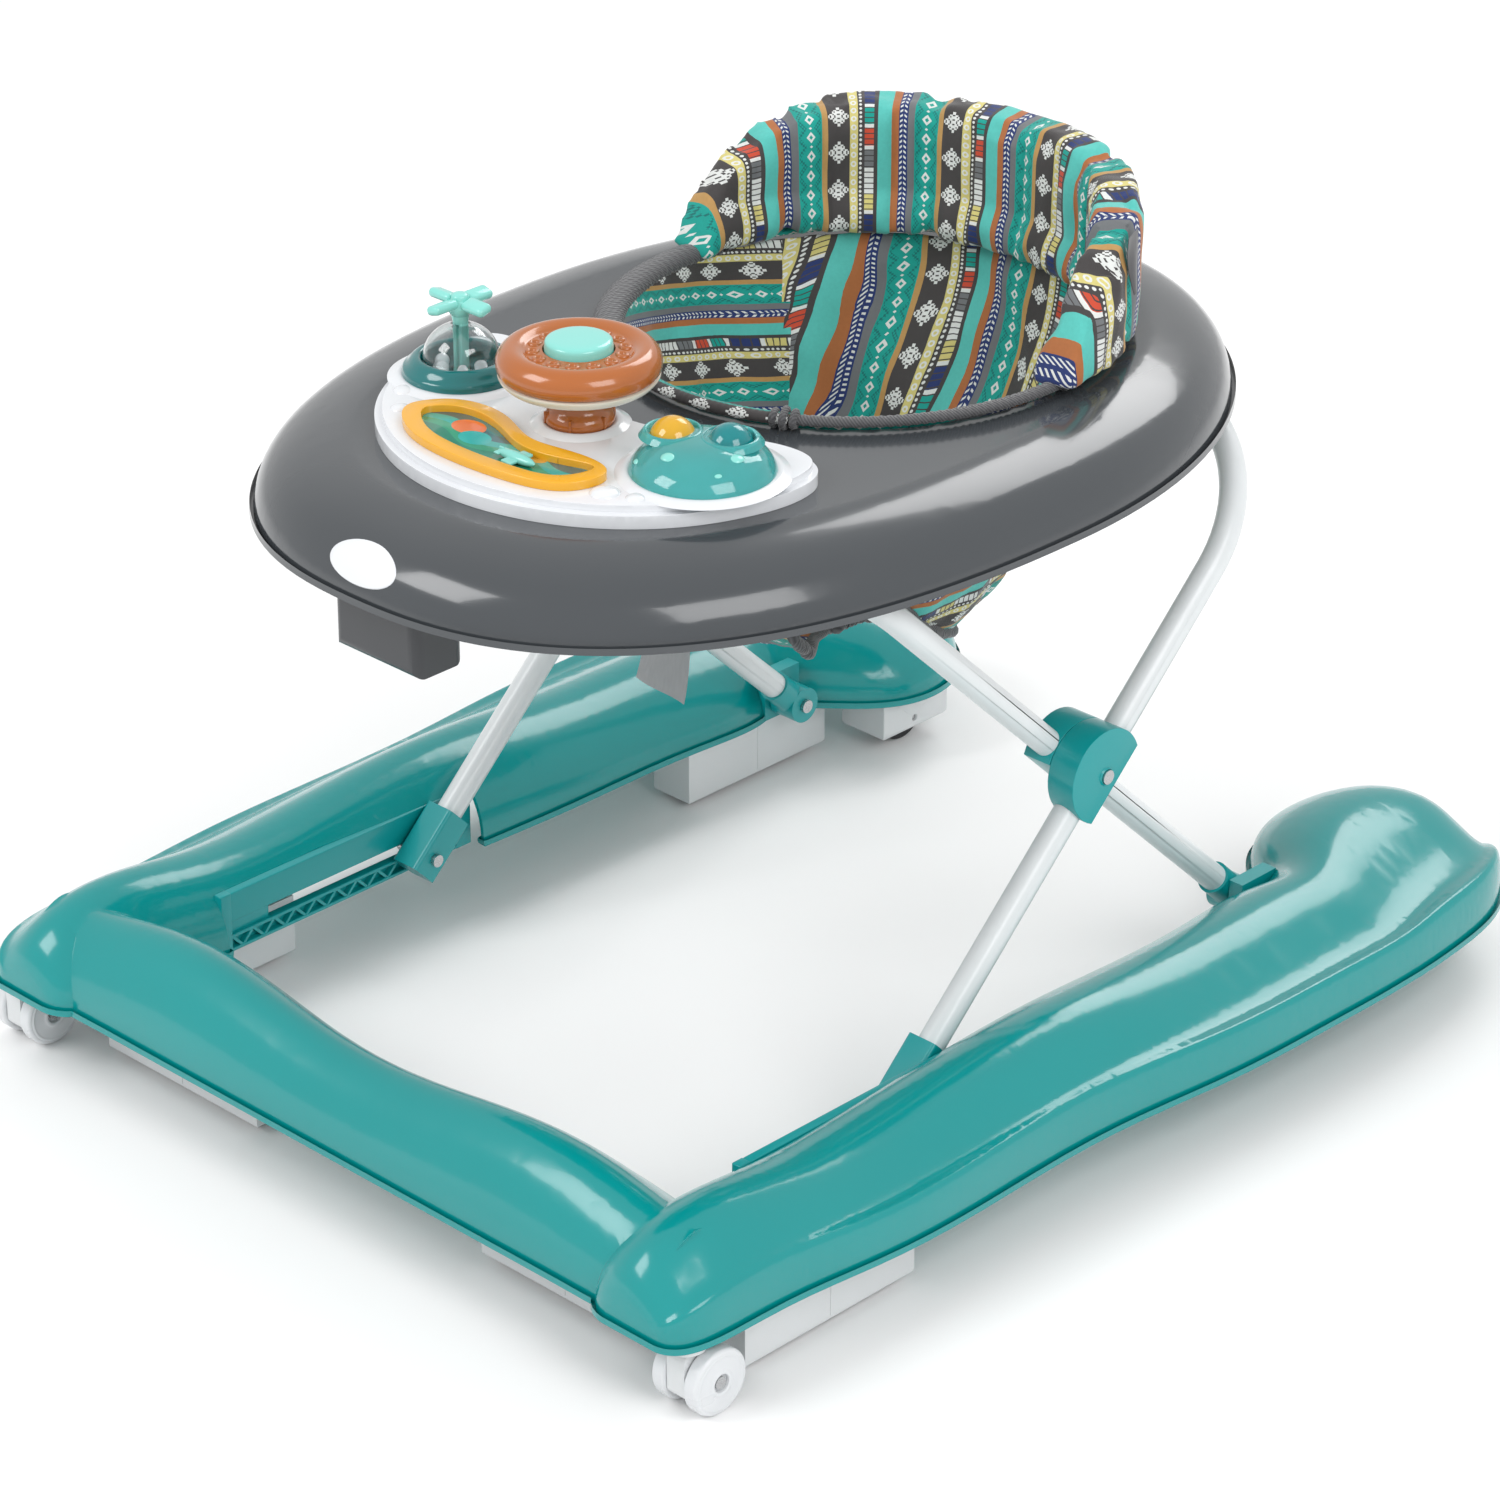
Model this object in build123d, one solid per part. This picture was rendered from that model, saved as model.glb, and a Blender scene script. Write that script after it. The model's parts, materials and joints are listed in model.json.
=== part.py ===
from build123d import *
import os
from math import cos, pi, radians, sin

# Baby walker. Millimetres. +Z up, the toy side faces -Y, +X is the right hand side seen
# from the toy side. The origin is on the floor, at the middle of the base.

# Scissor frame. Angles and arms are equal, so the tray stays level while it folds.
LEG_ANGLE = 43.5
LOWER_ARM = 243.0
UPPER_ARM = 264.0
PIN_Z = 65.0
REAR_PIN_Y = 239.0
TUBE_R = 9.5
TUBE_BORE_R = 8.3
FRONT_LEG_X = 229.0
REAR_LEG_X = 209.5
FRONT_LEG_BEND = 109.0
REAR_LEG_BEND = 32.0
RUNNING_GAP = 0.05

CROSS_Y = REAR_PIN_Y - LOWER_ARM * cos(radians(LEG_ANGLE))
CROSS_Z = PIN_Z + LOWER_ARM * sin(radians(LEG_ANGLE))
FRONT_PIN_Y = REAR_PIN_Y - 2 * LOWER_ARM * cos(radians(LEG_ANGLE))
BAR_Z = PIN_Z + (LOWER_ARM + UPPER_ARM) * sin(radians(LEG_ANGLE))
REAR_BAR_Y = CROSS_Y + UPPER_ARM * cos(radians(LEG_ANGLE))
FRONT_BAR_Y = CROSS_Y - UPPER_ARM * cos(radians(LEG_ANGLE))
FOLD_TRAVEL = 31.0
FOLDED_ANGLE = LEG_ANGLE - FOLD_TRAVEL
FRONT_PIN_FOLDED_Y = REAR_PIN_Y - 2 * LOWER_ARM * cos(radians(FOLDED_ANGLE))
BAR_SLIDE = 2 * UPPER_ARM * (cos(radians(FOLDED_ANGLE)) - cos(radians(LEG_ANGLE)))

# Base shell
RIM_Z = 50.0
SHELL_WALL = 3.0
# Side rail stations: y, inner edge x, outer edge x, crest x, crest z
RAIL_STATIONS = [
    (-421, 268, 312, 290, 72),
    (-412, 250, 326, 290, 92),
    (-385, 240, 332, 291, 108),
    (-320, 237, 334, 292, 111),
    (-131, 231, 343, 290, 110),
    (49, 226, 352, 288, 107),
    (150, 224, 357, 286, 104),
    (218, 223, 358, 282, 103),
    (262, 214, 357, 272, 104),
    (290, 184, 355, 262, 106),
    (324, 165, 351, 254, 107),
    (364, 168, 341, 251, 105),
    (395, 188, 322, 253, 96),
    (412, 212, 300, 255, 80),
    (421, 235, 276, 256, 62),
]
# Front bar stations: x, front edge y, inner edge y, crest y, crest z
BAR_STATIONS = [
    (-300, -414, -330, -372, 108),
    (-225, -411, -326, -371, 113),
    (-150, -411, -327, -371, 118),
    (-62, -411, -336, -373, 110),
    (62, -411, -336, -373, 110),
    (150, -411, -327, -371, 118),
    (225, -411, -326, -371, 113),
    (300, -414, -330, -372, 108),
]

# Slide tracks on the rails
TRACK_X = (243.0, 250.0)
TRACK_Y = (-286.0, -56.0)
TRACK_Z = (47.0, 92.0)
ROLLER_R = 4.85
SLOT_HALF = 5.0
TRUSS_Z = (49.5, 57.5)
TRUSS_PITCH = 16.0

# Rear pivot brackets
BRACKET_X = (221.5, 233.0)
BRACKET_Y = (221.0, 257.0)
BRACKET_Z = (50.0, 86.0)
PIN_R = 3.0

# Friction pads: x range, y range
PADS_FRONT = ((108.0, 260.0), (-375.0, -341.0))
PADS_SIDE_FRONT = ((270.0, 318.0), (-351.0, -199.0))
PADS_SIDE_REAR = ((227.0, 264.0), (147.0, 291.0))
PAD_BOTTOM_Z = 5.0
GRIP_Z = (3.0, 5.0)

# Casters
CASTER_X = 317.0
CASTER_Y = -401.0
CASTER_TRAIL = 11.0
CASTER_WHEEL_R = 22.5
CASTER_WHEEL_IN = 8.0
CASTER_WHEEL_OUT = 19.0
STEM_R = 4.0
STEM_TOP_Z = 68.0
AXLE_R = 2.5

# Rear wheels
REAR_WHEEL_X = 205.0
REAR_WHEEL_Y = 344.0
REAR_WHEEL_R = 22.0
REAR_WHEEL_W = 18.0

# Tray
TRAY_HALF_WIDTH = 254.5
TRAY_MID_Y = 9.0
TRAY_FRONT = 377.0
TRAY_REAR = 338.0
TRAY_WALL = 2.5
DECK_Z = 470.0
SKIRT_Z = 424.0
HOUSING_Y = (-353.0, -312.0)
# Tray edge profile: inset from the outline, height
TRAY_PROFILE = [(0, SKIRT_Z), (0.6, 429), (3.5, 440), (11, 452), (27, 463), (47, 468.8), (66, DECK_Z)]
SEAT_Y = 84.0
SEAT_HALF_X = 160.0
SEAT_HALF_Y = 170.0

# Seat
SLING_TOP_Z = 474.0
SLING_BOTTOM_Z = 270.0
SLING_WALL = 4.0
# Sling rings from the rim down: half width, half length, middle y, height
SLING_RINGS = [
    (156.0, 165.0, SEAT_Y, SLING_TOP_Z),
    (150.0, 155.0, SEAT_Y - 2, 430.0),
    (132.0, 130.0, SEAT_Y - 8, 360.0),
    (106.0, 100.0, SEAT_Y - 18, 300.0),
    (80.0, 72.0, SEAT_Y - 24, SLING_BOTTOM_Z),
]
BACK_Y = 89.0
BACK_R = (149.0, 178.0)
BACK_TOP_Z = 577.0

# Toy panel
PANEL_Y = -141.0
PANEL_HALF_X = 160.0
PANEL_HALF_Y = 150.0
PANEL_STEP = 9.0
PANEL_TOP_Z = 484.0
TOY_Y = -175.0
TOY_X = 109.0
BALL_PLACES = [(TOY_X - 23, TOY_Y - 3), (TOY_X + 10, TOY_Y + 14)]
BALL_R = 15.0


def block(x, y, z):
    """A box given by its three ranges."""
    size = [b - a for a, b in (x, y, z)]
    middle = [(a + b) / 2 for a, b in (x, y, z)]
    return Pos(*middle) * Box(*size)


def rod_x(radius, x, y, z):
    """A round rod along X from x[0] to x[1]."""
    return Pos((x[0] + x[1]) / 2, y, z) * Rot(0, 90, 0) * Cylinder(radius, x[1] - x[0])


def rod_z(radius, x, y, z):
    """A round rod along Z from z[0] to z[1]."""
    return Pos(x, y, (z[0] + z[1]) / 2) * Cylinder(radius, z[1] - z[0])


def other_side(shape):
    """The same shape on the other side of the walker."""
    return mirror(shape, about=Plane.YZ)


def turned(points):
    """A solid of revolution about Z from (radius, z) points."""
    outline = Polyline(*[(r, 0, z) for r, z in points], close=True)
    return revolve(make_face(outline), axis=Axis.Z)


def save(name, shape):
    export_step(shape, f"parts/{name}.step")


def save_pair(name, shape):
    """The right hand node and its mirrored left hand node."""
    save(f"{name}_right", shape)
    save(f"{name}_left", other_side(shape))


# ---------------------------------------------------------------- base shell

def dome_wire(place, low, high, crest, top, foot):
    """One cross-section of the shell: an arch over a flat bottom."""
    width = high - low
    rise = top - foot
    arch = [
        (low, foot),
        (low + 0.09 * width, foot + 0.60 * rise),
        (crest, top),
        (high - 0.09 * width, foot + 0.60 * rise),
        (high, foot),
    ]
    curve = Spline(*[place(a, z) for a, z in arch], tangents=[(0, 0, 1), (0, 0, -1)])
    return Wire([curve, Line(place(high, foot), place(low, foot))])


def rail_solid(inset, foot):
    """The side rail's volume, drawn in by a wall thickness."""
    wires = []
    for y, low, high, crest, top in RAIL_STATIONS:
        def place(a, z, y=y):
            return (a, y * (1 - inset / 421), z)
        wires.append(dome_wire(place, low + inset, high - inset, crest, top - inset, foot))
    return Solid.make_loft(wires)


def bar_solid(inset, foot):
    """The front bar's volume, drawn in by a wall thickness."""
    wires = []
    for x, low, high, crest, top in BAR_STATIONS:
        def place(a, z, x=x):
            return (x, a, z)
        wires.append(dome_wire(place, low + inset, high - inset, crest, top - inset, foot))
    return Solid.make_loft(wires)


def base_volume(inset, foot):
    rail = rail_solid(inset, foot)
    return rail + other_side(rail) + bar_solid(inset, foot)


def base_shell(cavity):
    shell = base_volume(0, RIM_Z) - cavity
    track_pocket = block((200, TRACK_X[1]), TRACK_Y, (40, TRACK_Z[1]))
    bracket_pocket = block((200, BRACKET_X[1]), BRACKET_Y, (40, BRACKET_Z[1]))
    pockets = track_pocket + bracket_pocket
    return shell - pockets - other_side(pockets)


def slide_track():
    """Plate with the long slot for the front foot's roller and a truss web below it."""
    plate = block(TRACK_X, TRACK_Y, TRACK_Z)
    slot_y = (FRONT_PIN_FOLDED_Y - ROLLER_R - 1, FRONT_PIN_Y + ROLLER_R + 0.2)
    plate -= block((240, 252), slot_y, (PIN_Z - SLOT_HALF, PIN_Z + SLOT_HALF))
    bays = int((TRACK_Y[1] - TRACK_Y[0] - 20) // TRUSS_PITCH)
    for bay in range(bays):
        start = TRACK_Y[0] + 10 + bay * TRUSS_PITCH
        low, high = TRUSS_Z if bay % 2 else TRUSS_Z[::-1]
        corners = [(start, low), (start + TRUSS_PITCH - 3, low), (start + TRUSS_PITCH / 2 - 1.5, high)]
        outline = Polyline(*[(240, y, z) for y, z in corners], close=True)
        plate -= extrude(make_face(outline), amount=14, dir=(1, 0, 0))
    return plate


def rear_bracket():
    body = block(BRACKET_X, BRACKET_Y, BRACKET_Z)
    return body - rod_x(PIN_R, (220, 230), REAR_PIN_Y, PIN_Z)


def rear_bracket_pin():
    shank = rod_x(PIN_R, (197.8, 230), REAR_PIN_Y, PIN_Z)
    head = rod_x(5.0, (195.0, 197.8), REAR_PIN_Y, PIN_Z)
    return shank + head


# ------------------------------------------------------- pads, wheels, casters

def pad_block(x, y, cavity):
    """Friction pad housing, with two posts up to the shell's underside."""
    body = fillet(block(x, y, (PAD_BOTTOM_Z, RIM_Z)).edges().group_by(Axis.Z)[0], 3.5)
    body -= block((x[0] + 4, x[1] - 4), (y[0] + 4, y[1] - 4), (PAD_BOTTOM_Z + 4, RIM_Z + 1))
    middle = ((x[0] + x[1]) / 2, (y[0] + y[1]) / 2)
    along_x = x[1] - x[0] > y[1] - y[0]
    reach = 50.0
    for side in (-1, 1):
        px = middle[0] + (side * reach if along_x else 6)
        py = middle[1] + (0 if along_x else side * reach)
        foot = block((px - 8, px + 8), (py - 8, py + 8), (PAD_BOTTOM_Z + 2, RIM_Z))
        head = block((px - 8, px + 8), (py - 8, py + 8), (RIM_Z, 125)) & cavity
        body += foot + head
    return body


def grip_strip(x, y):
    return block((x[0] + 8, x[1] - 8), (y[0] + 8, y[1] - 8), GRIP_Z)


def wheel_housing(cavity):
    outer = block((184, 228), (310, 380), (12, RIM_Z))
    outer = fillet(outer.edges().group_by(Axis.Z)[0], 6)
    post = block((190, 222), (330, 358), (RIM_Z, 120)) & cavity
    wheel_room = rod_x(24.0, (194.5, 215.5), REAR_WHEEL_Y, REAR_WHEEL_R)
    axle_hole = rod_x(AXLE_R, (184, 228), REAR_WHEEL_Y, REAR_WHEEL_R)
    return outer + post - wheel_room - axle_hole


def rear_wheel():
    half = REAR_WHEEL_W / 2
    wheel = rod_x(REAR_WHEEL_R, (REAR_WHEEL_X - half, REAR_WHEEL_X + half), REAR_WHEEL_Y, REAR_WHEEL_R)
    wheel = fillet(wheel.edges().filter_by(GeomType.CIRCLE), 3)
    return wheel - rod_x(AXLE_R + RUNNING_GAP, (190, 220), REAR_WHEEL_Y, REAR_WHEEL_R)


def rear_axle():
    return rod_x(AXLE_R, (186, 226), REAR_WHEEL_Y, REAR_WHEEL_R)


def caster_socket(cavity):
    boss = rod_z(13.0, CASTER_X, CASTER_Y, (46, RIM_Z)) + (rod_z(13.0, CASTER_X, CASTER_Y, (RIM_Z, 120)) & cavity)
    return boss - rod_z(STEM_R + RUNNING_GAP, CASTER_X, CASTER_Y, (40, STEM_TOP_Z + 1))


def caster_stem():
    return rod_z(STEM_R, CASTER_X, CASTER_Y, (17, STEM_TOP_Z))


def caster_fork():
    body = block((CASTER_X - 7.4, CASTER_X + 7.4), (CASTER_Y - 9, CASTER_Y + 21), (12, 45))
    body = fillet(body.edges().filter_by(Axis.X), 6)
    body += rod_z(10.0, CASTER_X, CASTER_Y, (44, 45.6))
    axle = rod_x(AXLE_R, (CASTER_X - 8, CASTER_X + 8), CASTER_Y + CASTER_TRAIL, CASTER_WHEEL_R)
    return body - rod_z(STEM_R, CASTER_X, CASTER_Y, (17, 60)) - axle


def caster_axle():
    y = CASTER_Y + CASTER_TRAIL
    shank = rod_x(AXLE_R, (CASTER_X - 17.5, CASTER_X + 17.5), y, CASTER_WHEEL_R)
    heads = rod_x(4.2, (CASTER_X - 18.8, CASTER_X - 17), y, CASTER_WHEEL_R)
    heads += rod_x(4.2, (CASTER_X + 17, CASTER_X + 18.8), y, CASTER_WHEEL_R)
    return shank + heads


def caster_wheel(side):
    """One of the two wheels; side is +1 outboard or -1 inboard."""
    y = CASTER_Y + CASTER_TRAIL
    span = sorted([CASTER_X + side * CASTER_WHEEL_IN, CASTER_X + side * CASTER_WHEEL_OUT])
    wheel = rod_x(CASTER_WHEEL_R, span, y, CASTER_WHEEL_R)
    wheel = fillet(wheel.edges().filter_by(GeomType.CIRCLE), 2.5)
    recess = sorted([CASTER_X + side * 16.8, CASTER_X + side * 20])
    wheel -= rod_x(6.0, recess, y, CASTER_WHEEL_R)
    return wheel - rod_x(AXLE_R + RUNNING_GAP, (CASTER_X - 22, CASTER_X + 22), y, CASTER_WHEEL_R)


# -------------------------------------------------------------- scissor frame

def leg_plane(rearward):
    """Plane of one U-frame at the crossing: local x is X, local y runs up the leg."""
    tilt = radians(LEG_ANGLE)
    normal = (0, -sin(tilt), rearward * cos(tilt))
    return Plane(origin=(0, CROSS_Y, CROSS_Z), x_dir=(1, 0, 0), z_dir=normal)


FRONT_LEGS = leg_plane(1)
REAR_LEGS = leg_plane(-1)


def on_leg(frame, shape):
    return frame.location * shape


def u_tube(frame, half_width, bend, foot):
    """Tube bent to a U: two legs and the crossbar at the top."""
    path = FilletPolyline(
        (-half_width, foot),
        (-half_width, UPPER_ARM),
        (half_width, UPPER_ARM),
        (half_width, foot),
        radius=bend,
    )
    start = Plane(origin=(-half_width, foot, 0), z_dir=(0, 1, 0))
    section = start * (Circle(TUBE_R) - Circle(TUBE_BORE_R))
    return on_leg(frame, sweep(section, path=path))


def leg_rod(frame, radius, x, along):
    """A rod across the leg, along X, at a distance up the leg from the crossing."""
    return on_leg(frame, Pos((x[0] + x[1]) / 2, along, 0) * Rot(0, 90, 0) * Cylinder(radius, x[1] - x[0]))


def both_sides(shape):
    return shape + other_side(shape)


def rear_leg_tube():
    tube = u_tube(REAR_LEGS, REAR_LEG_X, REAR_LEG_BEND, -LOWER_ARM - 6)
    pins = leg_rod(REAR_LEGS, PIN_R + RUNNING_GAP, (190, 230), -LOWER_ARM)
    rivets = leg_rod(REAR_LEGS, PIN_R, (190, 230), 0)
    return tube - both_sides(pins) - both_sides(rivets)


def front_leg_tube():
    tube = u_tube(FRONT_LEGS, FRONT_LEG_X, FRONT_LEG_BEND, -LOWER_ARM - 6)
    pins = leg_rod(FRONT_LEGS, PIN_R, (210, 250), -LOWER_ARM)
    rivets = leg_rod(FRONT_LEGS, PIN_R + RUNNING_GAP, (210, 250), 0)
    return tube - both_sides(pins) - both_sides(rivets)


def leg_bore(x, along, length):
    """The tube's own volume, to be taken out of whatever holds it."""
    return Pos(x, along, 0) * Rot(90, 0, 0) * Cylinder(TUBE_R, length)


def rear_foot_sleeve():
    sleeve = Pos(REAR_LEG_X, -LOWER_ARM + 8, 0) * Rot(90, 0, 0) * Cylinder(11.5, 42)
    knuckle = Pos(REAR_LEG_X, -LOWER_ARM, 0) * Rot(0, 90, 0) * Cylinder(13.5, 22.8)
    sleeve = sleeve + knuckle - leg_bore(REAR_LEG_X, -LOWER_ARM + 44, 100)
    hole = leg_rod(REAR_LEGS, PIN_R + RUNNING_GAP, (190, 230), -LOWER_ARM)
    return on_leg(REAR_LEGS, sleeve) - hole


def front_foot_sleeve():
    sleeve = Pos(FRONT_LEG_X, -LOWER_ARM + 10, 0) * Box(24, 48, 25)
    sleeve = fillet(sleeve.edges().filter_by(Axis.Y), 3)
    sleeve -= leg_bore(FRONT_LEG_X, -LOWER_ARM + 44, 100)
    return on_leg(FRONT_LEGS, sleeve) - leg_rod(FRONT_LEGS, PIN_R, (210, 250), -LOWER_ARM)


def front_foot_pin():
    shank = leg_rod(FRONT_LEGS, PIN_R, (215, 242), -LOWER_ARM)
    roller = leg_rod(FRONT_LEGS, ROLLER_R, (241.5, 251.5), -LOWER_ARM)
    head = leg_rod(FRONT_LEGS, 4.5, (213.5, 217), -LOWER_ARM)
    return shank + roller + head


def cross_cover():
    """Outer cover on the front leg: a D-shaped cap along the tube."""
    cover = Pos(230.6, 0, 0) * Box(21.8, 62, 34)
    cover = fillet(cover.edges().filter_by(Axis.Y), 6)
    cover -= leg_bore(FRONT_LEG_X, 0, 80)
    return on_leg(FRONT_LEGS, cover) - leg_rod(FRONT_LEGS, PIN_R + RUNNING_GAP, (200, 250), 0)


def cross_cup():
    """Inner cup on the rear leg."""
    cup = Pos(207.9, 0, 0) * Box(22.4, 54, 38)
    cup = fillet(cup.edges().filter_by(Axis.Y), 6)
    cup -= leg_bore(REAR_LEG_X, 0, 80)
    return on_leg(REAR_LEGS, cup) - leg_rod(REAR_LEGS, PIN_R, (190, 225), 0)


def cross_rivet():
    shank = leg_rod(REAR_LEGS, PIN_R, (195.5, 242.5), 0)
    inner_head = leg_rod(REAR_LEGS, 5.5, (194.0, 196.7), 0)
    outer_head = leg_rod(REAR_LEGS, 5.0, (241.8, 244.0), 0)
    return shank + inner_head + outer_head


# ----------------------------------------------------------------------- tray

def oval_wire(inset, z):
    """The tray's outline, drawn in by an inset: fuller in front than behind."""
    points = []
    count = 48
    for step in range(count):
        turn = 2 * pi * step / count
        rear = sin(turn) >= 0
        power = 2.05 if rear else 2.4
        reach = (TRAY_REAR if rear else TRAY_FRONT) - inset
        x = (TRAY_HALF_WIDTH - inset) * abs(cos(turn)) ** (2 / power)
        y = reach * abs(sin(turn)) ** (2 / power)
        points.append((x if cos(turn) > 0 else -x, TRAY_MID_Y + (y if rear else -y), z))
    return Wire([Spline(*points, periodic=True)])


def tray_volume(wall, drop):
    """The tray's domed volume; wall and drop give the hollow inside it."""
    wires = [oval_wire(wall, SKIRT_Z - drop)]
    wires += [oval_wire(wall + inset, z - wall) for inset, z in TRAY_PROFILE[1:]]
    return Solid.make_loft(wires)


def ellipse_post(half_x, half_y, y, z):
    outline = Pos(0, y, z[0]) * Ellipse(half_x, half_y)
    return extrude(outline, amount=z[1] - z[0])


def tray_shell(hollow):
    shell = tray_volume(0, 0) - hollow
    collar = ellipse_post(SEAT_HALF_X + 3, SEAT_HALF_Y + 3, SEAT_Y, (450, DECK_Z - TRAY_WALL))
    collar -= ellipse_post(SEAT_HALF_X, SEAT_HALF_Y, SEAT_Y, (440, 480))
    return shell - ellipse_post(SEAT_HALF_X, SEAT_HALF_Y, SEAT_Y, (400, 500)) + collar


def adjuster_rail(hollow):
    """Two hanging plates whose slots carry the rear legs' front crossbar."""
    rear_y = FRONT_BAR_Y + TUBE_R + 0.4
    front_y = FRONT_BAR_Y - BAR_SLIDE - TUBE_R - 1
    plates = None
    for x in (-30, 30):
        plate = block((x - 2, x + 2), (front_y - 12, rear_y + 10), (BAR_Z - 20, DECK_Z)) & hollow
        plates = plate if plates is None else plates + plate
    tie = block((-28, 28), (front_y - 12, front_y - 8), (BAR_Z + 15, DECK_Z)) & hollow
    plates += tie
    half = TUBE_R + 0.4
    return plates - block((-40, 40), (front_y, rear_y), (BAR_Z - half, BAR_Z + half))


def adjuster_housing(hollow):
    body = block((-38, 38), HOUSING_Y, (377, 420))
    body = fillet(body.edges().filter_by(Axis.Z) + body.edges().group_by(Axis.Z)[0].filter_by(Axis.X), 8)
    body += block((-38, 38), HOUSING_Y, (415, DECK_Z)) & hollow
    return body - block((-34, 34), (HOUSING_Y[0] + 4, HOUSING_Y[1] - 4), (381, 455))


def release_lever():
    paddle = block((-24, 24), (-311.6, -307.5), (380, 408))
    barrel = rod_x(4.0, (-24, 24), -307.6, 408)
    return paddle + barrel


def tray_pivot_brackets(hollow):
    """Two saddles that hold the tray on the front legs' rear crossbar."""
    brackets = None
    for x in (-48, 48):
        saddle = block((x - 10, x + 10), (REAR_BAR_Y - 14, REAR_BAR_Y + 14), (BAR_Z - 13, DECK_Z)) & hollow
        brackets = saddle if brackets is None else brackets + saddle
    brackets -= ellipse_post(SEAT_HALF_X + 3, SEAT_HALF_Y + 3, SEAT_Y, (430, 480))
    return brackets - rod_x(TUBE_R + RUNNING_GAP, (-70, 70), REAR_BAR_Y, BAR_Z)


# ----------------------------------------------------------------------- seat

def sling_volume(wall, lift, rise):
    wires = []
    for half_x, half_y, y, z in SLING_RINGS:
        height = z + lift if z < SLING_TOP_Z else z + rise
        wires.append(ellipse_wire(half_x - wall, half_y - wall, y, height))
    return Solid.make_loft(wires)


def ellipse_wire(half_x, half_y, y, z):
    points = []
    for step in range(32):
        turn = 2 * pi * step / 32
        points.append((half_x * cos(turn), y + half_y * sin(turn), z))
    return Wire([Spline(*points, periodic=True)])


def seat_sling():
    """Fabric bucket with two leg holes, and the hem that lies on the tray."""
    bucket = sling_volume(0, 0, 0) - sling_volume(SLING_WALL, SLING_WALL, 1)
    hem = ellipse_post(SEAT_HALF_X + 8, SEAT_HALF_Y + 8, SEAT_Y, (DECK_Z, SLING_TOP_Z))
    hem -= ellipse_post(SEAT_HALF_X - 8, SEAT_HALF_Y - 9, SEAT_Y, (DECK_Z - 1, SLING_TOP_Z + 1))
    leg_hole = Pos(60, SEAT_Y - 62, 300) * Rot(35, 0, 0) * Cylinder(44, 130)
    return bucket + hem - leg_hole - other_side(leg_hole)


def back_pad():
    """Padded backrest: half a ring with wings that fall away towards the front."""
    ring = Pos(0, BACK_Y, 530) * (Cylinder(BACK_R[1], 110) - Cylinder(BACK_R[0], 110))
    floor = SLING_TOP_Z + 0.5
    low_y = BACK_Y - 8
    rear_y = BACK_Y + BACK_R[1] + 5
    crest = Spline(
        (-200, low_y, floor + 8),
        (-200, BACK_Y + 32, 540),
        (-200, BACK_Y + 76, 566),
        (-200, BACK_Y + 138, BACK_TOP_Z),
        (-200, rear_y, BACK_TOP_Z - 2),
    )
    sides = Polyline((-200, rear_y, BACK_TOP_Z - 2), (-200, rear_y, floor), (-200, low_y, floor), (-200, low_y, floor + 8))
    profile = make_face([crest] + sides.edges())
    return ring & extrude(profile, amount=400, dir=(1, 0, 0))


# ----------------------------------------------------------------------- toys

def panel_outline(inset):
    """Outline of the toy panel: a bowed front and a hollow rear edge."""
    half_x = PANEL_HALF_X - inset
    half_y = PANEL_HALF_Y - inset
    turns = [radians(turn) for turn in range(180, 361, 15)]
    front = [(half_x * cos(turn), PANEL_Y + half_y * sin(turn)) for turn in turns]
    shoulder = [(150 - inset, PANEL_Y + 26), (122 - inset, PANEL_Y + 35 - inset), (62, PANEL_Y + 8 - inset)]
    rear = shoulder + [(0, PANEL_Y - 6 - inset)] + [(-x, y) for x, y in shoulder[::-1]]
    return make_face(Spline(*front, *rear, periodic=True))


def toy_panel():
    """Two-step panel with the steering column's bearing in the middle."""
    panel = Pos(0, 0, DECK_Z) * extrude(panel_outline(0), amount=PANEL_STEP)
    step_z = DECK_Z + PANEL_STEP
    panel += Pos(0, 0, step_z) * extrude(panel_outline(5), amount=PANEL_TOP_Z - step_z)
    return panel - rod_z(8.0 + RUNNING_GAP, 0, TOY_Y, (476, 490))


def column_profile():
    return [(0, 476.2), (8, 476.2), (8, PANEL_TOP_Z + 0.3), (22, PANEL_TOP_Z + 0.3), (21, 492),
            (15, 498), (14, 508), (0, 508)]


def steering_underside():
    """Brown column, and the cream lower half of the rim."""
    column = turned(column_profile())
    rim = turned([(0, 508), (30, 508), (46, 511), (51, 517), (51, 519), (0, 519)])
    return Pos(0, TOY_Y, 0) * (column + rim)


def steering_wheel():
    """Upper half of the wheel: a fat rim round a dished middle with a well for the button."""
    rim = turned([(22.3, 519), (51, 519), (52, 524), (50, 531), (45, 535.5), (39, 535.5), (34, 531), (22.3, 530)])
    return Pos(0, TOY_Y, 0) * rim


def horn_button():
    return Pos(0, TOY_Y, 0) * turned([(0, 523.5), (22, 523.5), (22, 539.5), (20, 542), (0, 542.5)])


def dome_ring():
    ring = turned([(25.2, PANEL_TOP_Z), (38, PANEL_TOP_Z), (38, 489), (34, 495), (27, 498), (25.2, 498)])
    return Pos(-TOY_X, TOY_Y, 0) * ring


def clear_dome():
    outer = Pos(-TOY_X, TOY_Y, 495) * Sphere(25)
    inner = Pos(-TOY_X, TOY_Y, 495) * Sphere(23.4)
    cap = block((-TOY_X - 30, -TOY_X + 30), (TOY_Y - 30, TOY_Y + 30), (496, 530))
    return (outer - inner) & cap - rod_z(3.2, -TOY_X, TOY_Y, (500, 530))


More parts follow.
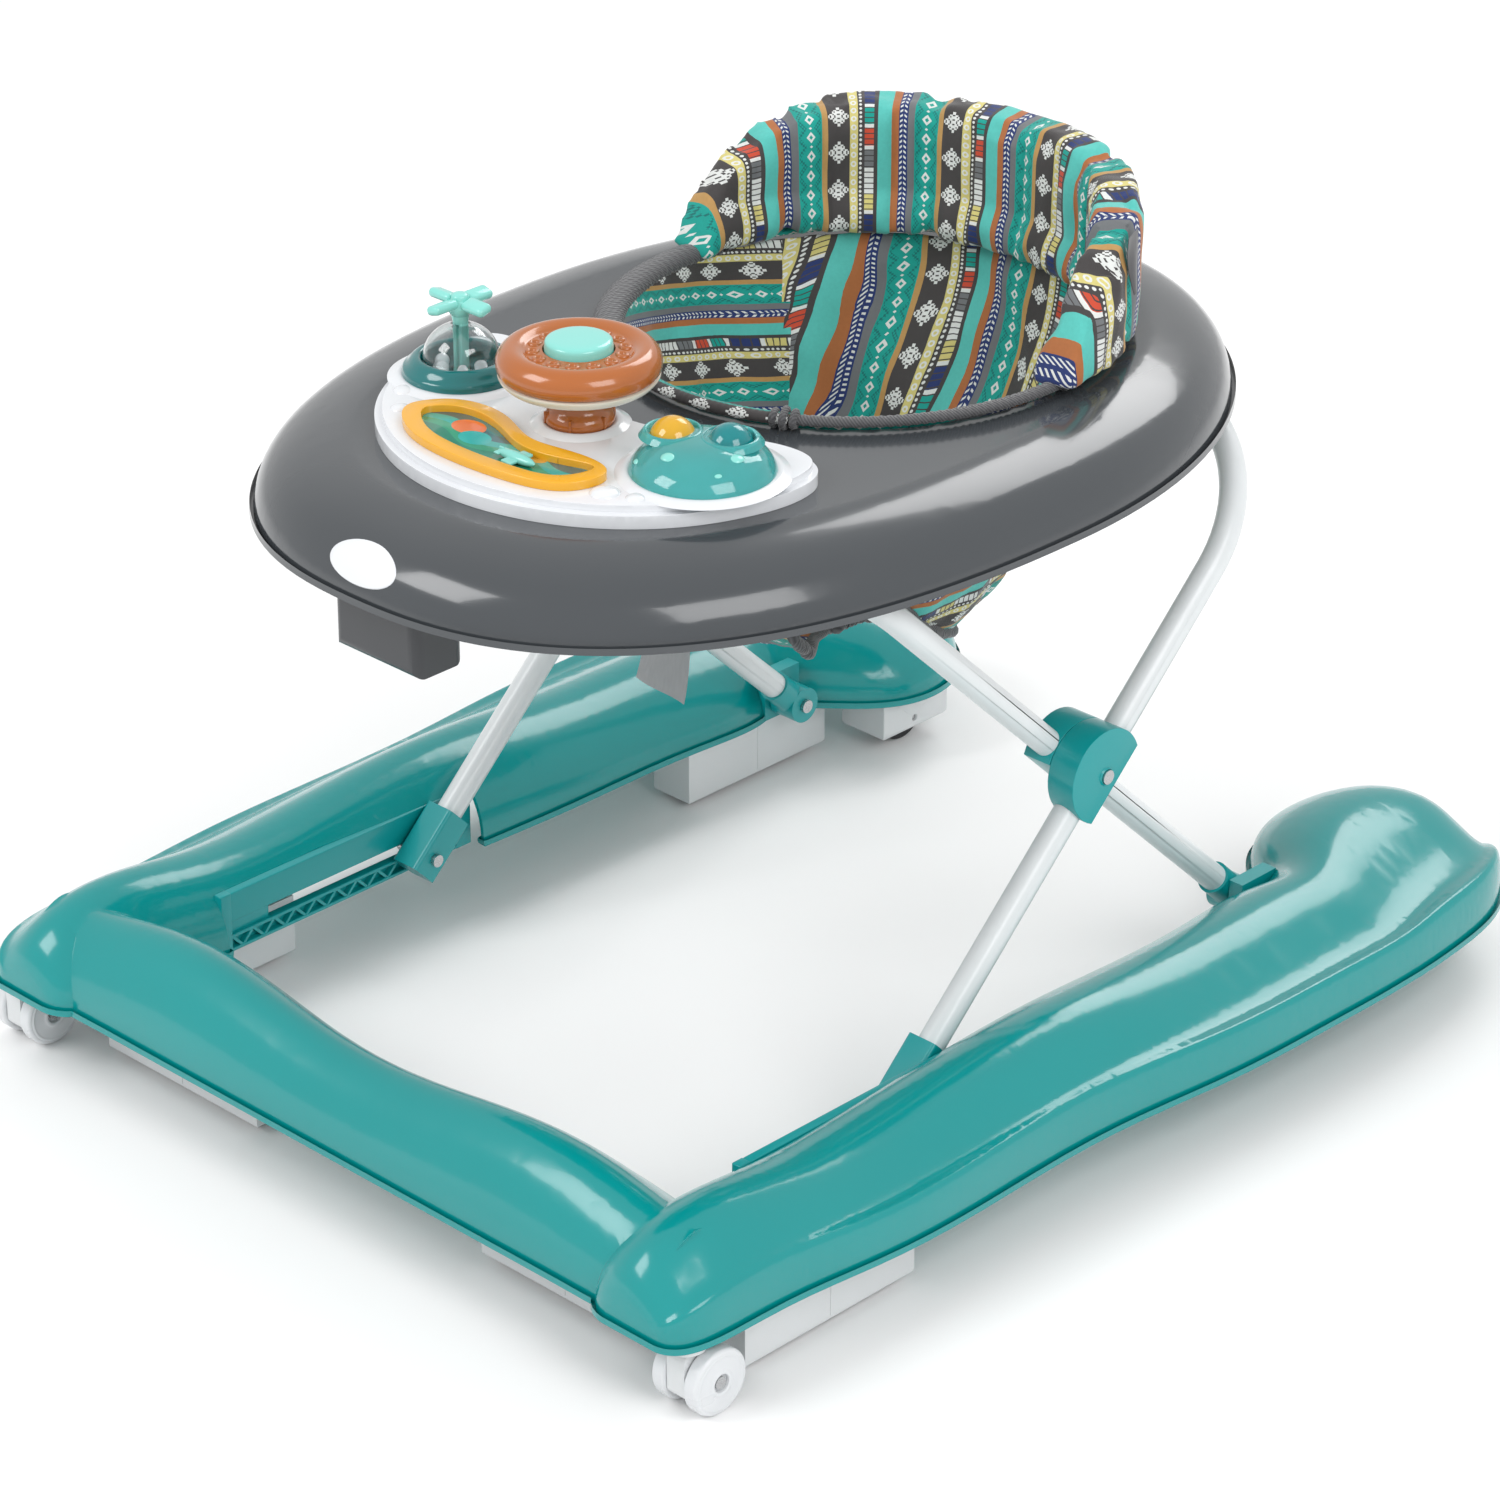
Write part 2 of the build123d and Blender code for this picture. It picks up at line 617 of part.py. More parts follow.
def dome_beads():
    beads = None
    for turn in (200, 255, 320):
        x = -TOY_X + 14 * cos(radians(turn))
        y = TOY_Y + 14 * sin(radians(turn))
        bead = Pos(x, y, PANEL_TOP_Z + 5) * Sphere(5)
        beads = bead if beads is None else beads + bead
    return beads


def propeller():
    """Mast through the clear dome, with a hub and four blades."""
    mast = rod_z(3.0, -TOY_X, TOY_Y, (PANEL_TOP_Z + 0.2, 530))
    hub = Pos(-TOY_X, TOY_Y, 531) * Sphere(7.5)
    blades = Pos(-TOY_X, TOY_Y, 534) * (Box(50, 10, 6) + Box(10, 50, 6))
    return mast + hub + fillet(blades.edges().filter_by(Axis.Z), 3)


def banana(grow):
    """Outline of the picture window: a curved band that narrows in the middle."""
    curve = Spline(
        (-83 - grow, -232),
        (-62, -213 + grow),
        (-28, -214 + grow),
        (4, -226 + grow),
        (44, -222 + grow),
        (72 + grow, -226),
        (70 + grow, -246 - grow / 2),
        (30, -266 - grow),
        (-30, -268 - grow),
        (-72 - grow / 2, -254 - grow),
        periodic=True,
    )
    return make_face(curve)


def picture_frame():
    face = banana(4) - banana(-7)
    return Pos(0, 0, PANEL_TOP_Z) * extrude(face, amount=6)


def picture_plate():
    return Pos(0, 0, PANEL_TOP_Z) * extrude(banana(-7.2), amount=1.2)


def plane_slider():
    body = Pos(18, -250, PANEL_TOP_Z + 4.4) * Box(30, 6, 6)
    wing = Pos(20, -247, PANEL_TOP_Z + 3.4) * Box(9, 22, 4)
    return body + wing


def bubble_dome():
    outer = turned([(0, PANEL_TOP_Z), (47, PANEL_TOP_Z), (46, 491), (40, 499), (28, 505), (0, 507)])
    inner = turned([(0, PANEL_TOP_Z - 1), (45, PANEL_TOP_Z - 1), (44, 490), (38.5, 497), (27, 503), (0, 505)])
    dome = Pos(TOY_X, TOY_Y, 0) * (outer - inner)
    for x, y in BALL_PLACES:
        dome -= rod_z(15.2, x, y, (490, 520))
    return dome


def ball_button(x, y):
    """Domed push button that stands out of the bubble dome."""
    ball = Pos(x, y, 500) * Sphere(BALL_R)
    foot = rod_z(BALL_R, x, y, (491, 500))
    return (ball & block((x - 20, x + 20), (y - 20, y + 20), (500, 520))) + foot


def main():
    os.makedirs("parts", exist_ok=True)
    base_cavity = base_volume(SHELL_WALL, RIM_Z - 2)
    save("base_shell", base_shell(base_cavity))
    save_pair("slide_track", slide_track())
    save_pair("rear_bracket", rear_bracket())
    save("rear_bracket_pins", both_sides(rear_bracket_pin()))
    pads = {"front": PADS_FRONT, "side_front": PADS_SIDE_FRONT, "side_rear": PADS_SIDE_REAR}
    grips = None
    for name, (x, y) in pads.items():
        save(f"pad_blocks_{name}", both_sides(pad_block(x, y, base_cavity)))
        pair = both_sides(grip_strip(x, y))
        grips = pair if grips is None else grips + pair
    save("grip_strips", grips)
    save_pair("wheel_housing", wheel_housing(base_cavity))
    save_pair("rear_wheel", rear_wheel())
    save("rear_axles", both_sides(rear_axle()))
    save("caster_sockets", both_sides(caster_socket(base_cavity)))
    save_pair("caster_fork", caster_fork())
    save_pair("caster_stem", caster_stem())
    save_pair("caster_axle", caster_axle())
    save_pair("caster_wheel_outer", caster_wheel(1))
    save_pair("caster_wheel_inner", caster_wheel(-1))

    save("rear_leg_tube", rear_leg_tube())
    save("front_leg_tube", front_leg_tube())
    save_pair("rear_foot_sleeve", rear_foot_sleeve())
    save_pair("front_foot_sleeve", front_foot_sleeve())
    save("front_foot_pins", both_sides(front_foot_pin()))
    save_pair("cross_cover", cross_cover())
    save_pair("cross_cup", cross_cup())
    save("cross_rivets", both_sides(cross_rivet()))

    tray_hollow = tray_volume(TRAY_WALL, 40)
    save("tray_shell", tray_shell(tray_hollow))
    save("adjuster_rail", adjuster_rail(tray_hollow))
    save("adjuster_housing", adjuster_housing(tray_hollow))
    save("release_lever", release_lever())
    save("tray_pivot_brackets", tray_pivot_brackets(tray_hollow))
    save("seat_sling", seat_sling())
    save("back_pad", back_pad())

    save("toy_panel", toy_panel())
    save("steering_underside", steering_underside())
    save("steering_wheel", steering_wheel())
    save("horn_button", horn_button())
    save("dome_ring", dome_ring())
    save("clear_dome", clear_dome())
    save("dome_beads", dome_beads())
    save("propeller", propeller())
    save("picture_frame", picture_frame())
    save("picture_plate", picture_plate())
    save("plane_slider", plane_slider())
    save("bubble_dome", bubble_dome())
    save("ball_yellow", ball_button(*BALL_PLACES[0]))
    save("ball_teal", ball_button(*BALL_PLACES[1]))


main()
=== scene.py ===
import json
import logging
import math
from dataclasses import dataclass, field
from enum import Enum
from typing import Callable, Iterable, Optional, Sequence

import bmesh
import bpy
from mathutils.bvhtree import BVHTree
from mathutils import Matrix, Vector, noise


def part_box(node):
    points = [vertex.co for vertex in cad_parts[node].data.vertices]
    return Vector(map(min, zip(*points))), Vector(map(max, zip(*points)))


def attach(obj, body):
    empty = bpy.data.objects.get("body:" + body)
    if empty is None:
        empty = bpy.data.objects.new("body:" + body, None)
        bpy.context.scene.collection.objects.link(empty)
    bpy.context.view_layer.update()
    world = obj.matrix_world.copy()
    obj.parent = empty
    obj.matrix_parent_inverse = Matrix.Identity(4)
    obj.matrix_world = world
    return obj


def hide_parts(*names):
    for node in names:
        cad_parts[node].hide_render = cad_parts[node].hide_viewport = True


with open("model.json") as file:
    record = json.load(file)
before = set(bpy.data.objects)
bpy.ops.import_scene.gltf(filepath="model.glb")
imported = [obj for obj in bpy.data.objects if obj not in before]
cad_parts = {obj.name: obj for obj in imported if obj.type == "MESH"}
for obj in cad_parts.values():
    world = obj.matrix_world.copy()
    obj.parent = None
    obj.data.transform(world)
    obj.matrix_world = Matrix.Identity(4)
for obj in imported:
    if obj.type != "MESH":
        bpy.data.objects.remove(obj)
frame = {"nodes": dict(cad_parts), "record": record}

logging.basicConfig(level=logging.INFO, format="%(message)s")
LOG = logging.getLogger("baby_walker")

MM = 0.001
PREFIX = "look_"  # keeps the finishes apart from the frame's own materials
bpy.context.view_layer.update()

Colour = tuple[float, float, float]


def box_centre(node: str) -> Vector:
    """Middle of a frame node's box.

    Args:
        node: the node's name.

    Returns:
        The centre point, in metres.
    """
    low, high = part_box(node)
    return (low + high) / 2


# --------------------------------------------------------------------- shading


class Field:
    """A number worked out at every point of a surface, with plain arithmetic."""

    def __init__(self, tree: bpy.types.NodeTree, socket: bpy.types.NodeSocket) -> None:
        """Keeps the node tree and the socket that carries the number."""
        self.tree = tree
        self.socket = socket

    def apply(self, operation: str, *others: "Field | float") -> "Field":
        """Runs one math node on this field.

        Args:
            operation: the math node's operation.
            others: the other inputs, in order.

        Returns:
            The result as a field.
        """
        node = self.tree.nodes.new("ShaderNodeMath")
        node.operation = operation
        self.tree.links.new(self.socket, node.inputs[0])
        for slot, other in enumerate(others, start=1):
            if isinstance(other, Field):
                self.tree.links.new(other.socket, node.inputs[slot])
            else:
                node.inputs[slot].default_value = other
        return Field(self.tree, node.outputs[0])

    def __add__(self, other: "Field | float") -> "Field":
        """Sum."""
        return self.apply("ADD", other)

    def __sub__(self, other: "Field | float") -> "Field":
        """Difference."""
        return self.apply("SUBTRACT", other)

    def __mul__(self, other: "Field | float") -> "Field":
        """Product."""
        return self.apply("MULTIPLY", other)

    def below(self, other: "Field | float") -> "Field":
        """One where this is less than the other, else zero."""
        return self.apply("LESS_THAN", other)

    def above(self, other: "Field | float") -> "Field":
        """One where this is more than the other, else zero."""
        return self.apply("GREATER_THAN", other)

    def size(self) -> "Field":
        """Distance from zero."""
        return self.apply("ABSOLUTE")

    def whole(self) -> "Field":
        """Largest whole number not above this."""
        return self.apply("FLOOR")

    def part(self) -> "Field":
        """What is left over the whole number, from 0 to 1."""
        return self.apply("FRACT")

    def between(self, low: float, high: float) -> "Field":
        """One from low to high, else zero."""
        return self.above(low) * self.below(high)


class Paint:
    """A material's node tree, with short calls for the nodes that the finishes share."""

    def __init__(self, name: str) -> None:
        """Makes an empty node material with its shader and output."""
        self.material = bpy.data.materials.new(PREFIX + name)
        self.material.use_nodes = True
        self.tree = self.material.node_tree
        self.tree.nodes.clear()
        self.output = self.tree.nodes.new("ShaderNodeOutputMaterial")
        self.shader = self.tree.nodes.new("ShaderNodeBsdfPrincipled")
        self.tree.links.new(self.shader.outputs[0], self.output.inputs[0])
        self.place = self.tree.nodes.new("ShaderNodeTexCoord").outputs["Object"]

    def set(self, **values: object) -> None:
        """Sets the shader's own sockets; an underscore stands for a space."""
        for name, value in values.items():
            self.shader.inputs[name.replace("_", " ")].default_value = value

    def link(self, socket: bpy.types.NodeSocket, target: str) -> None:
        """Feeds one of the shader's sockets."""
        self.tree.links.new(socket, self.shader.inputs[target])

    def noise(self, scale: float, detail: float = 2.0, stretch: Sequence[float] = (1, 1, 1)) -> Field:
        """Noise over the surface in object space.

        Args:
            scale: cells per metre.
            detail: octaves.
            stretch: scale along X, Y and Z.

        Returns:
            The noise as a field from 0 to 1.
        """
        mapping = self.tree.nodes.new("ShaderNodeMapping")
        mapping.inputs["Scale"].default_value = stretch
        self.tree.links.new(self.place, mapping.inputs["Vector"])
        node = self.tree.nodes.new("ShaderNodeTexNoise")
        node.inputs["Scale"].default_value = scale
        node.inputs["Detail"].default_value = detail
        self.tree.links.new(mapping.outputs[0], node.inputs["Vector"])
        return Field(self.tree, node.outputs[0])

    def axes(self, source: Optional[bpy.types.NodeSocket] = None) -> tuple[Field, Field, Field]:
        """The three coordinates of a point, as fields.

        Args:
            source: a vector socket; object space where it is left out.

        Returns:
            X, Y and Z.
        """
        split = self.tree.nodes.new("ShaderNodeSeparateXYZ")
        self.tree.links.new(source or self.place, split.inputs[0])
        return tuple(Field(self.tree, output) for output in split.outputs)

    def spread(self, value: Field, low: float, high: float) -> Field:
        """Maps 0..1 to low..high.

        Args:
            value: the field to map.
            low: result at 0.
            high: result at 1.

        Returns:
            The mapped field.
        """
        node = self.tree.nodes.new("ShaderNodeMapRange")
        node.inputs["To Min"].default_value = low
        node.inputs["To Max"].default_value = high
        self.tree.links.new(value.socket, node.inputs["Value"])
        return Field(self.tree, node.outputs[0])

    def blend(self, share: Field, first: object, second: object) -> bpy.types.NodeSocket:
        """Mixes two colours.

        Args:
            share: 0 gives the first, 1 the second.
            first: a colour or a colour socket.
            second: a colour or a colour socket.

        Returns:
            The mixed colour's socket.
        """
        node = self.tree.nodes.new("ShaderNodeMix")
        node.data_type = "RGBA"
        self.tree.links.new(share.socket, node.inputs["Factor"])
        for slot, colour in ((6, first), (7, second)):
            if isinstance(colour, bpy.types.NodeSocket):
                self.tree.links.new(colour, node.inputs[slot])
            else:
                node.inputs[slot].default_value = (*colour, 1.0)
        return node.outputs[2]

    def steps(self, value: Field, bands: Sequence[tuple[float, Colour]],
              smooth: bool = False) -> bpy.types.NodeSocket:
        """Colours in bands along a field.

        Args:
            value: the field, from 0 to 1.
            bands: where each colour starts, and the colour.
            smooth: whether neighbours run into each other.

        Returns:
            The colour's socket.
        """
        node = self.tree.nodes.new("ShaderNodeValToRGB")
        ramp = node.color_ramp
        ramp.interpolation = "LINEAR" if smooth else "CONSTANT"
        while len(ramp.elements) < len(bands):
            ramp.elements.new(1.0)
        for element, (start, colour) in zip(ramp.elements, bands):
            element.position = start
            element.color = (*colour, 1.0)
        self.tree.links.new(value.socket, node.inputs[0])
        return node.outputs[0]

    def bump(self, height: Field, depth: float,
             under: Optional[bpy.types.NodeSocket] = None) -> bpy.types.NodeSocket:
        """Bump from a height field.

        Args:
            height: the field.
            depth: how far a height of 1 stands out, in metres.
            under: a coarser normal to add to.

        Returns:
            The normal's socket.
        """
        node = self.tree.nodes.new("ShaderNodeBump")
        node.inputs["Strength"].default_value = 1.0
        node.inputs["Distance"].default_value = depth
        self.tree.links.new(height.socket, node.inputs["Height"])
        if under is not None:
            self.tree.links.new(under, node.inputs["Normal"])
        return node.outputs[0]


@dataclass(frozen=True)
class MouldedPlastic:
    """Injection-moulded plastic: slow ripples in the gloss, a fine skin and a little colour drift."""

    name: str
    colour: Colour
    roughness: float = 0.22
    ripple: float = 0.00018
    grain: float = 0.0
    coat: float = 0.35

    def material(self) -> bpy.types.Material:
        """Builds the finish.

        Returns:
            The node material.
        """
        paint = Paint(self.name)
        drift = paint.noise(9.0, 3.0)
        shade = tuple(part * 0.90 for part in self.colour)
        paint.link(paint.blend(drift, self.colour, shade), "Base Color")
        smear = paint.noise(38.0, 4.0, (1.0, 0.35, 1.0))
        paint.link(paint.spread(smear, self.roughness * 0.8, self.roughness * 1.35).socket, "Roughness")
        normal = paint.bump(paint.noise(14.0, 1.0), self.ripple)
        if self.grain:
            normal = paint.bump(paint.noise(1400.0, 2.0), self.grain, normal)
        paint.link(normal, "Normal")
        paint.set(Coat_Weight=self.coat, Coat_Roughness=0.06, IOR=1.5)
        return paint.material


@dataclass(frozen=True)
class PowderCoat:
    """Painted steel tube: fine orange peel and faint rub marks."""

    name: str
    colour: Colour

    def material(self) -> bpy.types.Material:
        """Builds the finish.

        Returns:
            The node material.
        """
        paint = Paint(self.name)
        rub = paint.noise(60.0, 5.0, (1.0, 1.0, 0.3))
        worn = tuple(part * 0.93 for part in self.colour)
        paint.link(paint.blend(rub, self.colour, worn), "Base Color")
        paint.link(paint.spread(rub, 0.24, 0.40).socket, "Roughness")
        paint.link(paint.bump(paint.noise(900.0, 1.0), 0.00003), "Normal")
        paint.set(Coat_Weight=0.25, Coat_Roughness=0.12)
        return paint.material


@dataclass(frozen=True)
class BrightSteel:
    """Plated rivets and pins with turning marks."""

    name: str
    colour: Colour

    def material(self) -> bpy.types.Material:
        """Builds the finish.

        Returns:
            The node material.
        """
        paint = Paint(self.name)
        marks = paint.noise(700.0, 3.0, (0.1, 1.0, 1.0))
        dull = tuple(part * 0.7 for part in self.colour)
        paint.link(paint.blend(marks, self.colour, dull), "Base Color")
        paint.link(paint.spread(marks, 0.18, 0.36).socket, "Roughness")
        paint.link(paint.bump(marks, 0.00002), "Normal")
        paint.set(Metallic=1.0)
        return paint.material


@dataclass(frozen=True)
class Rubber:
    """Matt rubber with fine ribs across the walker and a dusty bloom."""

    name: str
    colour: Colour
    rib: float = 0.004

    def material(self) -> bpy.types.Material:
        """Builds the finish.

        Returns:
            The node material.
        """
        paint = Paint(self.name)
        dust = paint.noise(120.0, 6.0)
        bloom = tuple(part * 1.8 + 0.01 for part in self.colour)
        paint.link(paint.blend(dust, self.colour, bloom), "Base Color")
        paint.link(paint.spread(dust, 0.55, 0.8).socket, "Roughness")
        along = paint.axes()[1]
        ribs = (along * (1 / self.rib)).part().between(0.25, 0.75)
        paint.link(paint.bump(ribs, 0.0002), "Normal")
        return paint.material


@dataclass(frozen=True)
class ClearPlastic:
    """See-through moulded plastic, clear or tinted."""

    name: str
    colour: Colour
    roughness: float = 0.04
    see_through: float = 1.0

    def material(self) -> bpy.types.Material:
        """Builds the finish.

        Returns:
            The node material.
        """
        paint = Paint(self.name)
        swirl = paint.noise(55.0, 3.0)
        deep = tuple(part * 0.86 for part in self.colour)
        paint.link(paint.blend(swirl, self.colour, deep), "Base Color")
        paint.link(paint.spread(swirl, self.roughness, self.roughness * 2.2).socket, "Roughness")
        paint.link(paint.bump(paint.noise(30.0, 1.0), 0.0001), "Normal")
        paint.set(Transmission_Weight=self.see_through, IOR=1.46, Coat_Weight=0.5, Coat_Roughness=0.03)
        return paint.material


class Yarn:
    """The print's colours."""

    TEAL: Colour = (0.0, 0.36, 0.30)
    DEEP: Colour = (0.0, 0.17, 0.16)
    TAN: Colour = (0.52, 0.30, 0.10)
    COAL: Colour = (0.055, 0.050, 0.050)
    PALE: Colour = (0.70, 0.62, 0.22)
    AQUA: Colour = (0.10, 0.56, 0.50)
    RUST: Colour = (0.44, 0.15, 0.045)
    NAVY: Colour = (0.015, 0.035, 0.16)
    CHALK: Colour = (0.78, 0.80, 0.78)
    SLATE: Colour = (0.17, 0.18, 0.19)
    CORAL: Colour = (0.62, 0.07, 0.03)


@dataclass(frozen=True)
class PrintedCloth:
    """Striped print on a plain weave, on the cloth's own UV map: metres across and along the stripes."""

    name: str
    repeat: float = 0.088
    thread: float = 0.0009

    def band(self, across: Field, start: float, end: float) -> Field:
        """Place within one stripe, from 0 at its start to 1 at its end."""
        return (across - start) * (1 / (end - start))

    def diamonds(self, paint: Paint, across: Field, along: Field,
                 colour: bpy.types.NodeSocket) -> bpy.types.NodeSocket:
        """Chain of pale diamonds between dotted triangles, on the teal stripe."""
        side = (self.band(across, 0.0, 0.20) - 0.5).size()
        step = (along * (1 / 0.014)).part() - 0.5
        reach = side * 2.7 + step.size() * 1.7
        chain = reach.between(0.22, 0.52) + (side * 5.0 + (step.size() - 0.5).size() * 4.5).below(0.34)
        checks = ((side * 14.0).whole() + (along * (1 / 0.0016)).whole()).apply("MODULO", 2.0)
        wing = (side * 2.0 + step.size() * 1.1).between(0.86, 1.2) * side.below(0.46)
        inside = across.below(0.20)
        colour = paint.blend(wing * checks * inside, colour, Yarn.DEEP)
        return paint.blend(chain.apply("MINIMUM", 1.0) * inside, colour, Yarn.CHALK)

    def medallions(self, paint: Paint, across: Field, along: Field,
                   colour: bpy.types.NodeSocket) -> bpy.types.NodeSocket:
        """Stepped star medallions on the coal stripe."""
        side = ((self.band(across, 0.25, 0.44) - 0.5) * 15.0).size().whole()
        step = ((((along * (1 / 0.027)).part()) - 0.5) * 24.0).size().whole()
        ring = side + step
        comb = (side + step * 2.0).apply("MODULO", 3.0).below(1.5)
        star = ring.between(2.5, 6.5) * comb + ring.below(1.5)
        shade = (star + ring.between(1.5, 4.5)).apply("MINIMUM", 1.0)
        inside = across.between(0.25, 0.44)
        return paint.blend(shade * comb.apply("MAXIMUM", ring.between(2.5, 3.5)) * inside, colour,
                           Yarn.CHALK)

    def beads(self, paint: Paint, across: Field, along: Field,
              colour: bpy.types.NodeSocket) -> bpy.types.NodeSocket:
        """Rings on the pale stripe, and the dotted line beside it."""
        side = (self.band(across, 0.44, 0.51) - 0.5) * 0.0062
        step = ((along * (1 / 0.0066)).part() - 0.5) * 0.0066
        far = (side * side + step * step).apply("SQRT")
        ring = far.between(0.0010, 0.0022) * across.between(0.44, 0.51)
        colour = paint.blend(ring, colour, Yarn.CHALK)
        side = (self.band(across, 0.51, 0.56) - 0.5) * 0.0044
        step = ((along * (1 / 0.0034)).part() - 0.5) * 0.0034
        dot = (side * side + step * step).apply("SQRT").below(0.00105) * across.between(0.51, 0.56)
        return paint.blend(dot, colour, Yarn.CHALK)

    def keys(self, paint: Paint, across: Field, along: Field,
             colour: bpy.types.NodeSocket) -> bpy.types.NodeSocket:
        """Blocks of colour like piano keys, in a coal border."""
        row = along * (1 / 0.0040)
        group = ((row * 0.25).whole() * (1 / 6)).part()
        blocks = paint.steps(group, [(0.0, Yarn.PALE), (0.16, Yarn.CHALK), (0.32, Yarn.SLATE),
                                     (0.49, Yarn.CORAL), (0.66, Yarn.TEAL), (0.82, Yarn.NAVY)])
        pale = (row * 0.25).part().below(0.2)
        blocks = paint.blend(pale, blocks, Yarn.CHALK)
        side = (self.band(across, 0.56, 0.66) - 0.5).size().below(0.40)
        face = side * row.part().between(0.12, 0.92) * across.between(0.56, 0.66)
        return paint.blend(face, colour, blocks)

    def chevrons(self, paint: Paint, across: Field, along: Field,
                 colour: bpy.types.NodeSocket) -> bpy.types.NodeSocket:
        """Small arrowheads on the navy stripe."""
        side = (self.band(across, 0.86, 0.94) - 0.5).size()
        arrow = (along * (1 / 0.0038) + side * 1.3).part().below(0.42)
        face = arrow * side.between(0.08, 0.36) * across.between(0.86, 0.94)
        return paint.blend(face, colour, Yarn.CHALK)

    def material(self) -> bpy.types.Material:
        """Builds the finish.

        Returns:
            The node material.
        """
        paint = Paint(self.name)
        map_node = paint.tree.nodes.new("ShaderNodeUVMap")
        map_node.uv_map = "cloth"
        wide, along, _ = paint.axes(map_node.outputs[0])
        across = (wide * (1 / self.repeat)).part()
        colour = paint.steps(across, [
            (0.0, Yarn.TEAL), (0.20, Yarn.TAN), (0.25, Yarn.COAL), (0.44, Yarn.PALE), (0.51, Yarn.COAL),
            (0.56, Yarn.COAL), (0.68, Yarn.AQUA), (0.80, Yarn.RUST), (0.86, Yarn.NAVY), (0.94, Yarn.SLATE)])
        for motif in (self.diamonds, self.medallions, self.beads, self.keys, self.chevrons):
            colour = motif(paint, across, along, colour)
        soft = paint.noise(420.0, 3.0)
        colour = paint.blend(paint.spread(soft, 0.0, 0.16), colour, Yarn.COAL)
        paint.link(colour, "Base Color")
        weft = (wide * (6.2832 / self.thread)).apply("SINE")
        warp = (along * (6.2832 / self.thread)).apply("SINE")
        weave = weft * warp + soft * 0.6
        paint.link(paint.bump(weave, 0.00005, paint.bump(paint.noise(45.0, 3.0), 0.0009)), "Normal")
        paint.link(paint.spread(soft, 0.62, 0.80).socket, "Roughness")
        paint.set(Sheen_Weight=0.25, Sheen_Roughness=0.4, Specular_IOR_Level=0.35)
        return paint.material


@dataclass(frozen=True)
class RibbedTape:
    """Coal-coloured elastic binding with ribs across it, the crest of each rib painted lighter as a painted
    highlight. It reads the piece's own UV map.
    """

    name: str
    colour: Colour
    rib: float = 0.0022

    def material(self) -> bpy.types.Material:
        """Builds the finish.

        Returns:
            The node material.
        """
        paint = Paint(self.name)
        map_node = paint.tree.nodes.new("ShaderNodeUVMap")
        map_node.uv_map = "cloth"
        wide, along, _ = paint.axes(map_node.outputs[0])
        slant = (along * (1 / self.rib) + wide * (0.5 / self.rib)).part()
        ridge = ((slant - 0.5).size() * -2.0) + 1.0
        # painted highlight: the crest of each rib is blended towards a colour 2.4 times lighter than the
        # tape
        light = tuple(part * 2.4 for part in self.colour)
        paint.link(paint.blend(ridge, self.colour, light), "Base Color")
        fuzz = paint.noise(900.0, 2.0)
        paint.link(paint.bump(ridge + fuzz * 0.3, 0.00035), "Normal")
        paint.link(paint.spread(fuzz, 0.7, 0.9).socket, "Roughness")
        paint.set(Sheen_Weight=0.3)
        return paint.material


@dataclass(frozen=True)
class PictureCard:
    """The card behind the window: rolling hills, a pond and a setting sun."""

    name: str

    def material(self) -> bpy.types.Material:
        """Builds the finish.

        Returns:
            The node material.
        """
        paint = Paint(self.name)
        across, along, _ = paint.axes()
        centre = box_centre("picture_plate")
        x = (across - centre.x) * 100.0
        y = (along - centre.y) * 100.0
        hill = y - (x * 0.9).apply("SINE") * 0.5
        band = paint.spread(hill, 0.0, 1.0)
        band.socket.node.inputs["From Min"].default_value = -2.4
        band.socket.node.inputs["From Max"].default_value = 2.4
        colour = paint.steps(band, [(0.0, (0.01, 0.20, 0.12)), (0.34, (0.02, 0.30, 0.16)),
                                    (0.5, (0.02, 0.38, 0.34)),
                                    (0.66, (0.03, 0.12, 0.14)), (0.84, (0.02, 0.20, 0.22))])
        for place_x, place_y, radius, tint in ((-3.7, 0.9, 0.95, (0.80, 0.16, 0.03)),
                (-2.2, 0.0, 0.9, (0.02, 0.42, 0.40)),
                                               (3.0, 0.5, 0.5, (0.60, 0.30, 0.03))):
            off_x = (x - place_x) * 0.75
            off_y = y - place_y
            spot = (off_x * off_x + off_y * off_y).apply("SQRT").below(radius)
            colour = paint.blend(spot, colour, tint)
        paint.link(colour, "Base Color")
        print_grain = paint.noise(2200.0, 2.0)
        paint.link(paint.spread(print_grain, 0.18, 0.3).socket, "Roughness")
        paint.link(paint.bump(print_grain, 0.00001), "Normal")
        paint.set(Coat_Weight=0.8, Coat_Roughness=0.04)
        return paint.material


@dataclass(frozen=True)
class LabelCloth:
    """Plain satin label with a faint slub."""

    name: str
    colour: Colour

    def material(self) -> bpy.types.Material:
        """Builds the finish.

        Returns:
            The node material.
        """
        paint = Paint(self.name)
        slub = paint.noise(500.0, 3.0, (1.0, 1.0, 0.15))
        dark = tuple(part * 0.8 for part in self.colour)
        paint.link(paint.blend(slub, self.colour, dark), "Base Color")
        paint.link(paint.spread(slub, 0.45, 0.65).socket, "Roughness")
        paint.link(paint.bump(slub, 0.00008), "Normal")
        paint.set(Sheen_Weight=0.3)
        return paint.material


